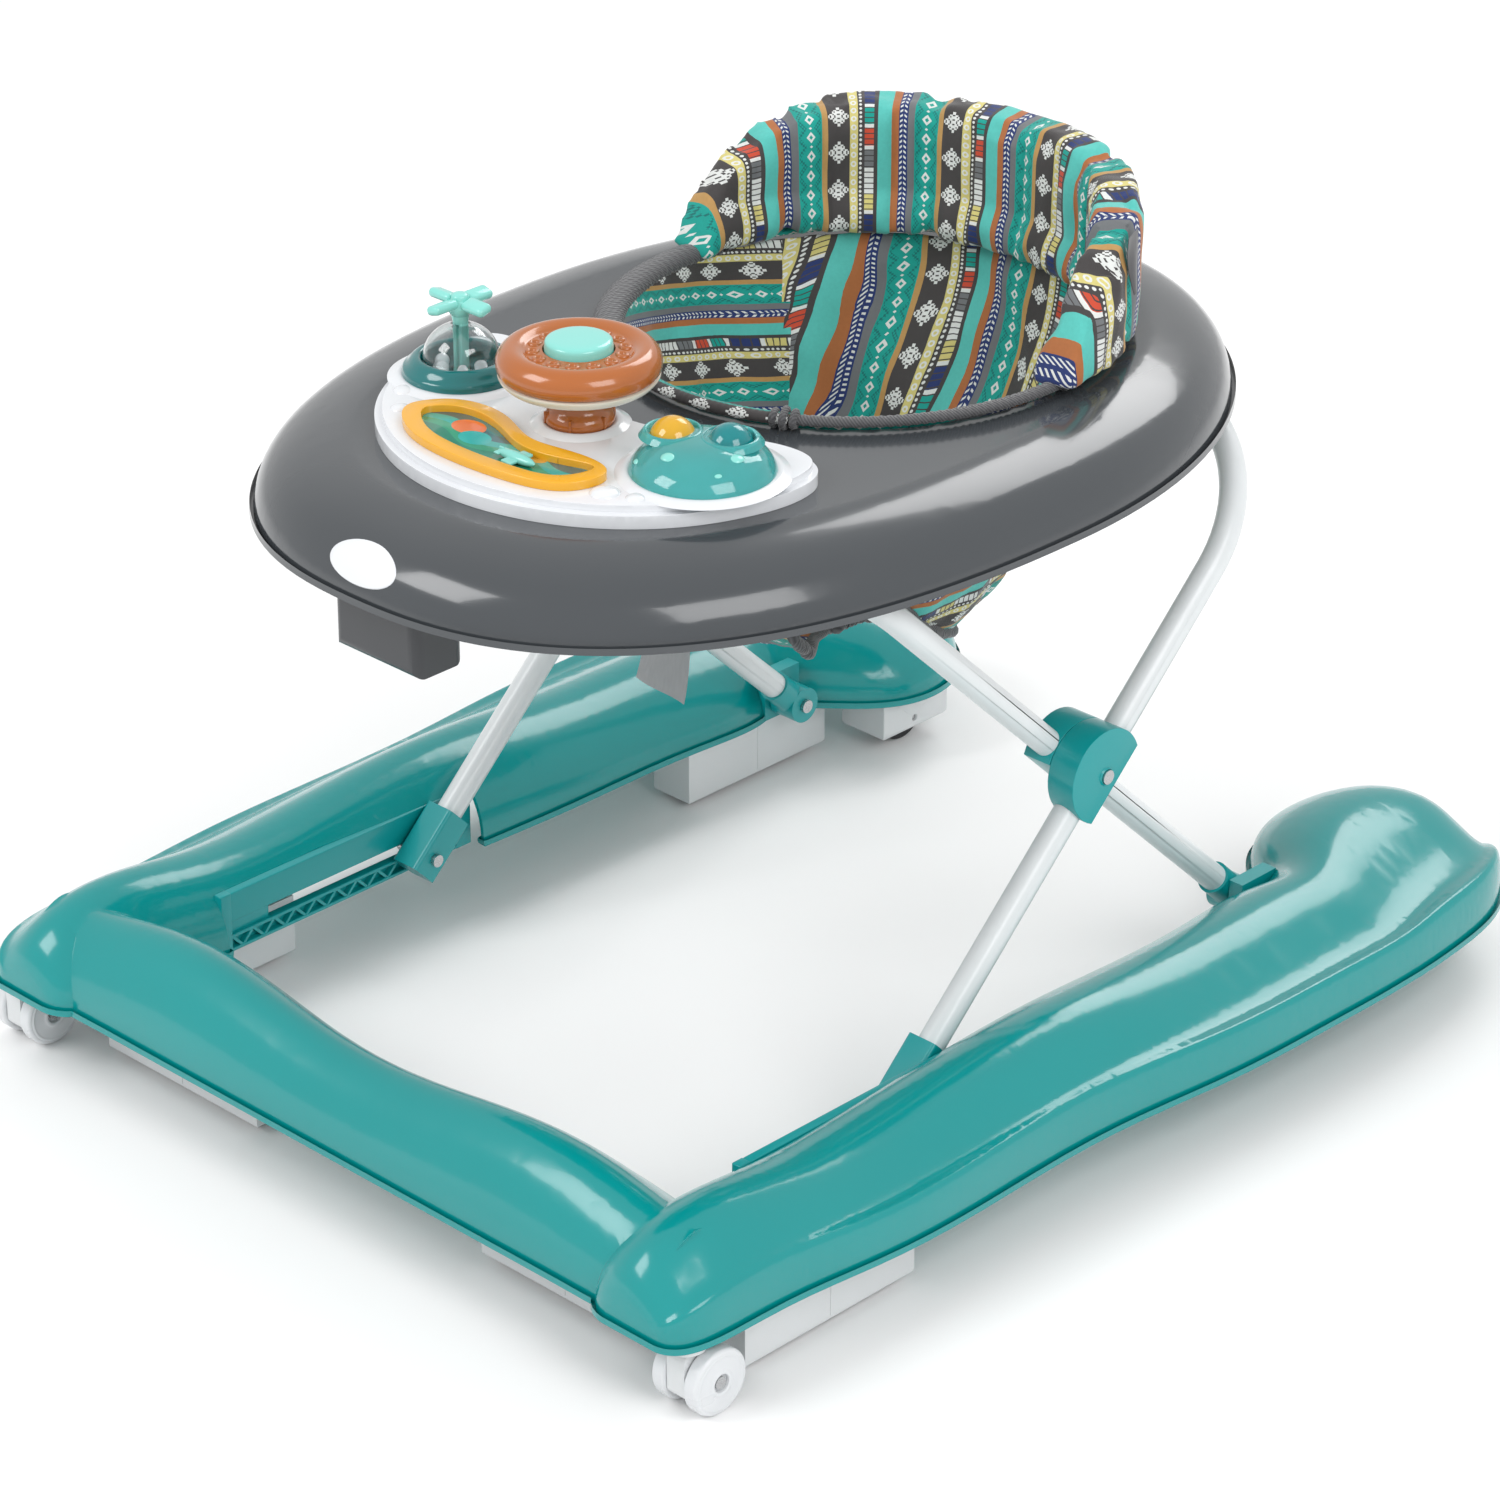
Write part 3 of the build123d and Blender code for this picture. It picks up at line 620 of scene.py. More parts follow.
class Finish(Enum):
    """Every finish of the walker, by the record's material slot."""

    teal_shell = MouldedPlastic("teal_shell", (0.0, 0.285, 0.285), 0.17, 0.00007, 0.0, 0.25)
    teal_matte = MouldedPlastic("teal_matte", (0.0, 0.320, 0.330), 0.30, 0.0001, 0.00001, 0.2)
    charcoal_gloss = MouldedPlastic("charcoal_gloss", (0.056, 0.063, 0.070), 0.15, 0.00008, 0.0, 0.4)
    charcoal_matte = MouldedPlastic("charcoal_matte", (0.036, 0.039, 0.044), 0.34, 0.0001, 0.00001, 0.15)
    white_plastic = MouldedPlastic("white_plastic", (0.70, 0.72, 0.73), 0.36, 0.0001, 0.00001, 0.1)
    white_wheel = MouldedPlastic("white_wheel", (0.72, 0.74, 0.76), 0.28, 0.00006, 0.0, 0.25)
    white_gloss = MouldedPlastic("white_gloss", (0.80, 0.82, 0.85), 0.16, 0.00018, 0.0, 0.5)
    cream_plastic = MouldedPlastic("cream_plastic", (0.74, 0.70, 0.60), 0.22)
    rust_plastic = MouldedPlastic("rust_plastic", (0.44, 0.125, 0.022), 0.17, 0.0001, 0.0, 0.5)
    aqua_plastic = MouldedPlastic("aqua_plastic", (0.25, 0.70, 0.63), 0.20, 0.0001, 0.0, 0.4)
    deep_teal_plastic = MouldedPlastic("deep_teal_plastic", (0.0, 0.16, 0.165), 0.13, 0.0001, 0.0, 0.6)
    yellow_plastic = MouldedPlastic("yellow_plastic", (0.86, 0.42, 0.015), 0.24, 0.0001, 0.0, 0.4)
    white_tube = PowderCoat("white_tube", (0.72, 0.75, 0.76))
    steel = BrightSteel("steel", (0.60, 0.60, 0.61))
    dark_rubber = Rubber("dark_rubber", (0.03, 0.03, 0.033))
    black_tyre = Rubber("black_tyre", (0.016, 0.016, 0.018))
    clear_plastic = ClearPlastic("clear_plastic", (0.95, 0.99, 0.99))
    aqua_clear = ClearPlastic("aqua_clear", (0.08, 0.62, 0.61), 0.05, 0.55)
    yellow_clear = ClearPlastic("yellow_clear", (0.95, 0.50, 0.02), 0.04, 0.25)
    teal_clear = ClearPlastic("teal_clear", (0.0, 0.30, 0.32), 0.04, 0.3)
    picture_print = PictureCard("picture_print")
    print_fabric = PrintedCloth("print_fabric")
    tape = RibbedTape("tape", (0.045, 0.045, 0.048))
    label = LabelCloth("label", (0.36, 0.37, 0.38))
    dark_label = LabelCloth("dark_label", (0.05, 0.05, 0.055))

    @property
    def material(self) -> bpy.types.Material:
        """The finish's material, built once."""
        return bpy.data.materials.get(PREFIX + self.name) or self.value.material()


# ---------------------------------------------------------------------- meshes


class Side(Enum):
    """The walker's two sides, as signs of X."""

    RIGHT = 1
    LEFT = -1

    @property
    def word(self) -> str:
        """The side as node names have it."""
        return self.name.lower()


@dataclass
class Piece:
    """One visible piece, from a bmesh to a dressed object that rides on a body."""

    name: str
    body: str
    finish: Finish
    slot: Optional[str] = None
    replaces: Sequence[str] = ()

    def __post_init__(self) -> None:
        """Names the slot after the finish where no other is given."""
        self.slot = self.slot or self.finish.name

    def build(self, mesh: bmesh.types.BMesh, sharp: float = 40.0) -> bpy.types.Object:
        """Turns the bmesh into the finished object.

        Args:
            mesh: the shape, in metres in the walker's frame. It is freed.
            sharp: edges that turn more than this many degrees stay crisp.

        Returns:
            The object.
        """
        bmesh.ops.remove_doubles(mesh, verts=mesh.verts, dist=1e-6)
        bmesh.ops.recalc_face_normals(mesh, faces=mesh.faces)
        data = bpy.data.meshes.new(self.name)
        mesh.to_mesh(data)
        mesh.free()
        made = bpy.data.objects.new(self.name, data)
        bpy.context.scene.collection.objects.link(made)
        data.shade_smooth()
        data.set_sharp_from_angle(angle=math.radians(sharp))
        return self.dress(made)

    def dress(self, made: bpy.types.Object) -> bpy.types.Object:
        """Gives an object its material and body, and hides the nodes it stands for.

        Args:
            made: the object.

        Returns:
            The same object.
        """
        made.data.materials.clear()
        made.data.materials.append(self.finish.material)
        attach(made, self.body)
        if self.replaces:
            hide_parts(*self.replaces)
        LOG.info("%s: %d faces on %s", self.name, len(made.data.polygons), self.body)
        return made


def move(mesh: bmesh.types.BMesh, verts: Iterable, matrix: Matrix) -> None:
    """Moves some vertices by a matrix."""
    bmesh.ops.transform(mesh, matrix=matrix, verts=list(verts))


def lathe(profile: Sequence[tuple[float, float]], centre: Vector, steps: int = 64) -> bmesh.types.BMesh:
    """Turns a profile about a vertical axis.

    Args:
        profile: (radius, height) points in millimetres.
        centre: where the axis stands.
        steps: facets round the turn.

    Returns:
        The turned shape.
    """
    mesh = bmesh.new()
    verts = [mesh.verts.new((radius * MM, 0, height * MM)) for radius, height in profile]
    edges = [mesh.edges.new(pair) for pair in zip(verts, verts[1:])]
    bmesh.ops.spin(mesh, geom=verts + edges, cent=(0, 0, 0), axis=(0, 0, 1), angle=math.tau, steps=steps,
                   use_merge=True)
    bmesh.ops.remove_doubles(mesh, verts=mesh.verts, dist=1e-6)
    move(mesh, mesh.verts, Matrix.Translation(centre))
    return mesh


def soften(points: Sequence[tuple[float, float]], rounds: int = 2) -> list[tuple[float, float]]:
    """Rounds a profile's corners by cutting them, and keeps its two ends.

    Args:
        points: the profile.
        rounds: how many times corners are cut.

    Returns:
        The rounder profile.
    """
    for _ in range(rounds):
        cut = [points[0]]
        for (ax, ay), (bx, by) in zip(points, points[1:]):
            cut += [(ax * 0.75 + bx * 0.25, ay * 0.75 + by * 0.25),
                    (ax * 0.25 + bx * 0.75, ay * 0.25 + by * 0.75)]
        points = cut + [points[-1]]
    return list(points)


def join(target: bmesh.types.BMesh, *others: bmesh.types.BMesh) -> bmesh.types.BMesh:
    """Adds other shapes to one and frees them.

    Args:
        target: the shape that takes the others in.
        others: the shapes to add.

    Returns:
        The target.
    """
    for other in others:
        carrier = bpy.data.meshes.new("carrier")
        other.to_mesh(carrier)
        other.free()
        target.from_mesh(carrier)
        bpy.data.meshes.remove(carrier)
    return target


def merged_copy(node: str) -> bmesh.types.BMesh:
    """A frame node's mesh with its loose triangles joined.

    Args:
        node: the node's name.

    Returns:
        The joined copy.
    """
    mesh = bmesh.new()
    mesh.from_mesh(frame["nodes"][node].data)
    bmesh.ops.remove_doubles(mesh, verts=mesh.verts, dist=1e-5)
    bmesh.ops.dissolve_limit(mesh, angle_limit=math.radians(0.5), verts=mesh.verts, edges=mesh.edges)
    return mesh


def bevel_all(mesh: bmesh.types.BMesh, width: float, segments: int = 3, above: float = 35.0) -> None:
    """Rounds every edge that turns more than an angle.

    Args:
        mesh: the shape.
        width: the rounding, in metres.
        segments: facets across it.
        above: smallest angle that counts, in degrees.
    """
    edges = [edge for edge in mesh.edges if edge.is_manifold
             and edge.calc_face_angle(0.0) > math.radians(above)]
    bmesh.ops.bevel(mesh, geom=edges, offset=width, offset_type="OFFSET", affect="EDGES", segments=segments,
                    profile=0.5, material=-1, clamp_overlap=True)


def rounded_block(low: Sequence[float], high: Sequence[float], edge: float,
                  segments: int = 3) -> bmesh.types.BMesh:
    """A block with rounded edges, given by two corners in millimetres.

    Args:
        low: lowest corner.
        high: highest corner.
        edge: edge radius.
        segments: facets across an edge.

    Returns:
        The block.
    """
    mesh = bmesh.new()
    bmesh.ops.create_cube(mesh, size=1.0)
    spans = [(b - a) * MM for a, b in zip(low, high)]
    middle = [(a + b) * MM / 2 for a, b in zip(low, high)]
    move(mesh, mesh.verts, Matrix.Translation(middle) @ Matrix.Diagonal((*spans, 1)))
    bevel_all(mesh, edge * MM, segments)
    return mesh


def ball(radius: float, centre: Sequence[float], stretch: Sequence[float] = (1, 1, 1),
         cut: int = 16) -> bmesh.types.BMesh:
    """A ball or ellipsoid, sizes in millimetres.

    Args:
        radius: the ball's radius.
        centre: its middle.
        stretch: scale along X, Y and Z.
        cut: facets from pole to pole.

    Returns:
        The ball.
    """
    mesh = bmesh.new()
    bmesh.ops.create_uvsphere(mesh, u_segments=cut * 2, v_segments=cut, radius=radius * MM)
    move(mesh, mesh.verts, Matrix.Translation([c * MM for c in centre]) @ Matrix.Diagonal((*stretch, 1)))
    return mesh


def sweep(path: Sequence[Vector], radius: Callable[[float], float], sides: int = 10, closed: bool = True,
          flat: float = 1.0) -> bmesh.types.BMesh:
    """A tube along a path, with a UV map in metres round and along it.

    Args:
        path: the centre line.
        radius: tube radius for a share of the way, 0 to 1.
        sides: facets round the tube.
        closed: whether the end meets the start.
        flat: the tube's height as a share of its width.

    Returns:
        The tube.
    """
    mesh = bmesh.new()
    layer = mesh.loops.layers.uv.new("cloth")
    count = len(path)
    travelled = [0.0]
    for here, there in zip(path, [*path[1:], path[0]]):
        travelled.append(travelled[-1] + (there - here).length)
    hoops, place = [], {}
    for step, point in enumerate(path):
        ahead = path[(step + 1) % count] if closed or step < count - 1 else point
        behind = path[step - 1] if closed or step else point
        forward = (ahead - behind).normalized()
        out = forward.cross(Vector((0, 0, 1))).normalized()
        up = out.cross(forward)
        capped = not closed and step in (0, count - 1)
        made = bmesh.ops.create_circle(mesh, cap_ends=capped, segments=sides,
                                       radius=radius(step / count))["verts"]
        turn = Matrix((out, up * flat, forward)).transposed().to_4x4()
        move(mesh, made, Matrix.Translation(point) @ turn)
        place.update({vert: (side, step) for side, vert in enumerate(made)})
        hoops.append(list({edge for vert in made for edge in vert.link_edges}))
    for first, second in zip(hoops, hoops[1:] + (hoops[:1] if closed else [])):
        bmesh.ops.bridge_loops(mesh, edges=first + second)
    for face in mesh.faces:
        spots = [place[loop.vert] for loop in face.loops]
        sides_met, steps_met = ({spot[axis] for spot in spots} for axis in (0, 1))
        for loop, (side, step) in zip(face.loops, spots):
            side = sides if side == 0 and sides - 1 in sides_met else side
            step = count if step == 0 and count - 1 in steps_met else step
            loop[layer].uv = (side / sides * math.tau * radius(0.3), travelled[step])
    return mesh


# ------------------------------------------------------------------ frame nodes


@dataclass
class FrameParts:
    """Frame nodes that show as they are, with rounded edges and their own finishes."""

    edge: dict[str, float] = field(default_factory=lambda: {
        "base_shell": 1.2, "slide_track": 0.5, "rear_bracket": 1.0, "rear_bracket_pins": 0.4,
                "pad_blocks": 3.0,
        "grip_strips": 0.4, "wheel_housing": 1.5, "rear_wheel": 0.6, "rear_axles": 0.3,
                "caster_sockets": 0.8,
        "caster_fork": 1.2, "caster_stem": 0.3, "caster_axle": 0.5, "caster_wheel": 0.6,
                "rear_leg_tube": 0.3,
        "front_leg_tube": 0.3, "rear_foot_sleeve": 0.9, "front_foot_sleeve": 0.9, "front_foot_pins": 0.5,
        "cross_rivets": 0.6, "tray_shell": 0.8, "adjuster_rail": 0.6, "adjuster_housing": 1.2,
                "release_lever": 0.9,
        "tray_pivot_brackets": 0.8, "picture_plate": 0.1,
    })

    def rounding(self, node: str) -> float:
        """Edge radius of a node, in millimetres.

        Args:
            node: the node's name.

        Returns:
            The radius of the longest key that the name starts with.
        """
        keys = [key for key in self.edge if node.startswith(key)]
        return self.edge[max(keys, key=len)] if keys else 0.5

    def finish_node(self, node: str, slot: str) -> None:
        """Dresses one node.

        Args:
            node: the node's name.
            slot: its material slot.
        """
        shown = frame["nodes"][node]
        shown.data.materials.clear()
        shown.data.materials.append(Finish[slot].material)
        if "custom_normal" in shown.data.attributes:
            shown.data.attributes.remove(shown.data.attributes["custom_normal"])
        shown.data.shade_smooth()
        weld = shown.modifiers.new("joined", "WELD")
        weld.merge_threshold = 1e-5
        bevel = shown.modifiers.new("edges", "BEVEL")
        bevel.width = self.rounding(node) * MM
        bevel.segments = 3
        bevel.limit_method = "ANGLE"
        bevel.angle_limit = math.radians(38)
        bevel.harden_normals = True
        LOG.info("%s: frame node in %s", node, slot)

    def build(self) -> None:
        """Dresses every node of the record."""
        for part in frame["record"]["subparts"]:
            self.finish_node(part["node"], part["material_slot"])


# ------------------------------------------------------------------------- base


@dataclass
class Lip:
    """The rolled flange along the bottom edge of a moulded shell."""

    node: str
    body: str
    finish: Finish
    height: float = 3.2
    reach: float = 2.6

    def build(self) -> bpy.types.Object:
        """Takes the shell's lowest band, thickens it outwards and slopes its top back to the wall.

        Returns:
            The flange.
        """
        low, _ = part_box(self.node)
        bottom = low.z
        top = bottom + self.height * MM
        mesh = merged_copy(self.node)
        for height, outer in ((top, True), (bottom, False)):
            everything = mesh.verts[:] + mesh.edges[:] + mesh.faces[:]
            bmesh.ops.bisect_plane(mesh, geom=everything, dist=1e-6, plane_co=(0, 0, height),
                                   plane_no=(0, 0, 1),
                                   clear_outer=outer, clear_inner=not outer)
        mesh.normal_update()
        for vert in mesh.verts:
            walls = [face.normal for face in vert.link_faces if abs(face.normal.z) < 0.8]
            out = sum(walls, Vector()) if walls else vert.normal
            out.z = 0.0
            if out.length > 0.2:
                vert.co += out.normalized() * self.reach * MM
        rim = [edge for edge in mesh.edges if edge.is_boundary
               and all(v.co.z > top - 1e-5 for v in edge.verts)]
        grown = bmesh.ops.extrude_edge_only(mesh, edges=rim)["geom"]
        raised = [item for item in grown if isinstance(item, bmesh.types.BMVert)]
        for vert in raised:
            walls = [face.normal for edge in vert.link_edges for face in edge.link_faces
                     if face.normal.length > 0.5]
            out = sum((w for w in walls if abs(w.z) < 0.8), Vector())
            out.z = 0.0
            if out.length > 0.2:
                vert.co -= out.normalized() * (self.reach + 0.6) * MM
            vert.co.z += self.reach * 0.5 * MM
        return Piece(f"{self.node}_lip_0", self.body, self.finish).build(mesh, sharp=60)


@dataclass
class SlideTracks:
    """Slotted plates that guide the front feet, with a closed truss channel under the slot."""

    x: tuple[float, float] = (243.0, 250.0)
    y: tuple[float, float] = (-286.0, -56.0)
    z: tuple[float, float] = (47.0, 92.0)
    slot_z: tuple[float, float] = (60.0, 70.0)
    end_wall: float = 9.0
    front_block: float = 52.0
    rear_block: float = 18.0
    flange: float = 2.6
    pitch: float = 19.0
    rib: float = 2.2

    def rib_block(self, y: float, rising: int) -> bmesh.types.BMesh:
        """One slanting rib of the channel.

        Args:
            y: middle of the rib along the track, in millimetres.
            rising: +1 or -1, the way it slants.

        Returns:
            The rib.
        """
        tall = self.slot_z[0] - self.z[0] - 3.0
        length = math.hypot(self.pitch / 2, tall)
        rib = rounded_block((self.x[0] + 0.4, -length / 2, -self.rib / 2),
                            (self.x[1] - 1, length / 2, self.rib / 2), 0.3, 2)
        turn = Matrix.Rotation(rising * math.atan2(tall, self.pitch / 2), 4, "X")
        middle = (self.z[0] + self.slot_z[0]) / 2
        move(rib, rib.verts, Matrix.Translation(Vector((0, y, middle)) * MM) @ turn)
        return rib

    def build(self) -> None:
        """Makes both tracks."""
        inner, outer = self.x
        for side in Side:
            node = f"slide_track_{side.word}"
            low, high = (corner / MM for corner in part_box(node))
            first = low.y + self.front_block
            last = high.y - self.rear_block
            mesh = rounded_block((inner, low.y, self.slot_z[1]), (outer, high.y, self.z[1]), 0.8)
            join(mesh, rounded_block((inner, low.y, self.slot_z[0] - self.flange),
                                     (outer, high.y, self.slot_z[0]), 0.6),
                 rounded_block((inner, low.y, self.z[0]), (outer, high.y, self.z[0] + self.flange), 0.6),
                 rounded_block((outer - 2.2, low.y + 1, self.z[0] + 1),
                               (outer - 0.8, high.y - 1, self.slot_z[0] - 1), 0.3),
                 rounded_block((inner - 0.3, low.y - 0.3, self.z[0] - 0.2),
                               (outer - 0.2, low.y + self.end_wall, self.z[1] + 0.3), 0.8),
                 rounded_block((inner + 2.5, low.y + 4, self.slot_z[0] - 1),
                               (outer - 1, first - 8, self.z[1] - 4), 0.8),
                 rounded_block((inner - 0.3, last + 4, self.z[0] - 0.2),
                               (outer - 0.2, high.y + 0.3, self.z[1] + 0.3), 0.8))
            count = int((last - low.y - self.end_wall) / (self.pitch / 2))
            for number in range(count):
                join(mesh, self.rib_block(low.y + self.end_wall + (number + 0.5) * self.pitch / 2, 1
                                          if number % 2 else -1))
            if side is Side.LEFT:
                bmesh.ops.scale(mesh, vec=(-1, 1, 1), verts=mesh.verts)
                bmesh.ops.reverse_faces(mesh, faces=mesh.faces)
            Piece(f"{node}_moulded", "base", Finish.teal_matte, replaces=[node]).build(mesh)


@dataclass
class PadSeams:
    """Parting ridge down the middle of each friction pad."""

    width: float = 1.2
    stand: float = 0.5
    span_z: tuple[float, float] = (9, 49)
    inner: dict[str, float] = field(default_factory=lambda: {"front": 108.0, "side_front": 270.0,
            "side_rear": 227.0})

    def build(self) -> None:
        """Makes the ridges of the three rows of pads."""
        for row in ("front", "side_front", "side_rear"):
            low, high = (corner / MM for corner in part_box(f"pad_blocks_{row}"))
            mesh = bmesh.new()
            for side in Side:
                along_x = row == "front"
                inner = self.inner[row]
                middle = (inner + high.x) / 2 if along_x else 0.0
                if along_x:
                    a = (side.value * middle - self.width / 2, low.y - self.stand, self.span_z[0])
                    b = (side.value * middle + self.width / 2, high.y + self.stand, self.span_z[1])
                else:
                    centre_y = (low.y + high.y) / 2
                    edges = sorted((side.value * (inner - self.stand), side.value * (high.x + self.stand)))
                    a = (edges[0], centre_y - self.width / 2, self.span_z[0])
                    b = (edges[1], centre_y + self.width / 2, self.span_z[1])
                join(mesh, rounded_block(a, b, 0.4, 2))
            Piece(f"pad_seam_{row}", "base", Finish.white_plastic).build(mesh)


@dataclass
class CasterCaps:
    """Turned hub faces of the front casters."""

    centre: tuple[float, float] = (317.0, -390.0)
    axle_height: float = 22.5

    def face(self, side: Side, outward: int) -> bmesh.types.BMesh:
        """Raised ring on a wheel's face.

        Args:
            side: which caster.
            outward: +1 for the wheel away from the middle of the walker, -1 for the other.

        Returns:
            The ring.
        """
        profile = soften([(6.2, 0.0), (6.2, 0.9), (8.0, 1.3), (10.0, 0.2), (17.5, 0.2), (18.6, 0.9),
                          (20.0, 0.0)])
        mesh = lathe(profile, Vector(), 40)
        direction = side.value * outward
        turn = Matrix.Rotation(math.radians(90 * direction), 4, "Y")
        x = side.value * self.centre[0] + direction * 18.9
        place = Matrix.Translation((x * MM, self.centre[1] * MM, self.axle_height * MM))
        move(mesh, mesh.verts, place @ turn)
        return mesh

    def build(self) -> None:
        """Makes the four hub faces."""
        for side in Side:
            for word, outward in (("outer", 1), ("inner", -1)):
                body = f"caster_wheel_{word}_{side.word}"
                Piece(f"{body}_face", body, Finish.white_wheel).build(self.face(side, outward))


# ---------------------------------------------------------------- scissor frame


@dataclass
class CrossCovers:
    """The D-shaped covers where the legs cross: a cap on the front leg, a cup on the rear leg."""

    leg_angle: float = 43.5
    radius: float = 33.0
    flat: float = 13.0
    rivet_well: float = 6.8

    def shape(self, node: str, rearward: int, side: Side) -> bmesh.types.BMesh:
        """One cover.

        Args:
            node: the frame node that it stands for.
            rearward: +1 on the front leg, -1 on the rear leg.
            side: which side of the walker.

        Returns:
            The cover.
        """
        low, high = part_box(node)
        centre = (low + high) / 2
        mesh = bmesh.new()
        bmesh.ops.create_circle(mesh, cap_ends=True, segments=48, radius=self.radius * MM)
        everything = mesh.verts[:] + mesh.edges[:] + mesh.faces[:]
        bmesh.ops.bisect_plane(mesh, geom=everything, dist=1e-7, plane_co=(self.flat * MM, 0, 0),
                               plane_no=(1, 0, 0), clear_outer=True)
        bmesh.ops.holes_fill(mesh, edges=mesh.edges)
        body = bmesh.ops.extrude_face_region(mesh, geom=mesh.faces[:])["geom"]
        thick = high.x - low.x
        bmesh.ops.translate(mesh, vec=(0, 0, thick),
                            verts=[v for v in body if isinstance(v, bmesh.types.BMVert)])
        bmesh.ops.translate(mesh, vec=(0, 0, -thick / 2), verts=mesh.verts)
        bmesh.ops.recalc_face_normals(mesh, faces=mesh.faces)
        bevel_all(mesh, 4.5 * MM, 4, 50.0)
        across = Vector((0, math.sin(math.radians(self.leg_angle)) * rearward,
                         -math.cos(math.radians(self.leg_angle))))
        along = Vector((0, math.cos(math.radians(self.leg_angle)) * rearward,
                        math.sin(math.radians(self.leg_angle))))
        outward = Vector((side.value, 0, 0))
        turn = Matrix((across, along, outward)).transposed().to_4x4()
        move(mesh, mesh.verts, Matrix.Translation(centre) @ turn)
        return mesh

    def build(self) -> None:
        """Makes the two caps and the two cups, and a collar round each rivet."""
        for side in Side:
            for word, body, rearward in (("cover", "front_legs", 1), ("cup", "rear_legs", -1)):
                node = f"cross_{word}_{side.word}"
                mesh = self.shape(node, rearward, side)
                Piece(f"{node}_moulded", body, Finish.teal_matte, replaces=[node]).build(mesh)
            low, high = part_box(f"cross_cover_{side.word}")
            rivet = box_centre(f"cross_cover_{side.word}")
            collar = lathe(soften([(self.rivet_well, -0.4), (self.rivet_well - 1.2, 1.2), (5.2, 1.2),
                                   (5.0, -0.4)]), Vector(), 32)
            face = high.x if side is Side.RIGHT else low.x
            turn = Matrix.Rotation(math.radians(90 * side.value), 4, "Y")
            move(collar, collar.verts, Matrix.Translation((face, rivet.y, rivet.z)) @ turn)
            Piece(f"rivet_collar_{side.word}", "front_legs", Finish.teal_matte).build(collar)


# ------------------------------------------------------------------------- tray


@dataclass
class TrayTrim:
    """The blank oval badge on the tray's front."""

    half: tuple[float, float] = (29.0, 11.5)
    height: float = 447.0
    thick: float = 1.5

    def build(self) -> None:
        """Flattens a ball into an oval and lays it on the tray's front wall."""
        tray = bmesh.new()
        tray.from_mesh(frame["nodes"]["tray_shell"].data)
        wall = BVHTree.FromBMesh(tray)
        tray.free()
        mesh = ball(1.0, (0, 0, 0), (self.half[0], self.thick, self.half[1]), 28)
        for vert in mesh.verts:
            height = vert.co.z + self.height * MM
            found = wall.ray_cast(Vector((vert.co.x, -1.0, height)), Vector((0, 1, 0)))[0]
            squared = math.copysign(min(abs(vert.co.y) * 2.2, self.thick * MM), vert.co.y)
            vert.co = Vector((vert.co.x, found.y + squared, height))
        Piece("tray_badge", "tray", Finish.white_gloss).build(mesh)


# ------------------------------------------------------------------------- seat


def cloth_layer(mesh: bmesh.types.BMesh, place: Callable[[Vector, Vector], tuple[float, float]]) -> None:
    """Writes the print's UV map.

    Args:
        mesh: the cloth.
        place: gives metres across and along the stripes for a point and its face's centre.
    """
    layer = mesh.loops.layers.uv.get("cloth") or mesh.loops.layers.uv.new("cloth")
    for face in mesh.faces:
        centre = face.calc_center_median()
        for loop in face.loops:
            loop[layer].uv = place(loop.vert.co, centre)


def dent(distance: float, depth: float, width: float) -> float:
    """Depth of a stitched valley at a distance from its stitch line."""
    return depth * math.exp(-((distance / width) ** 2))


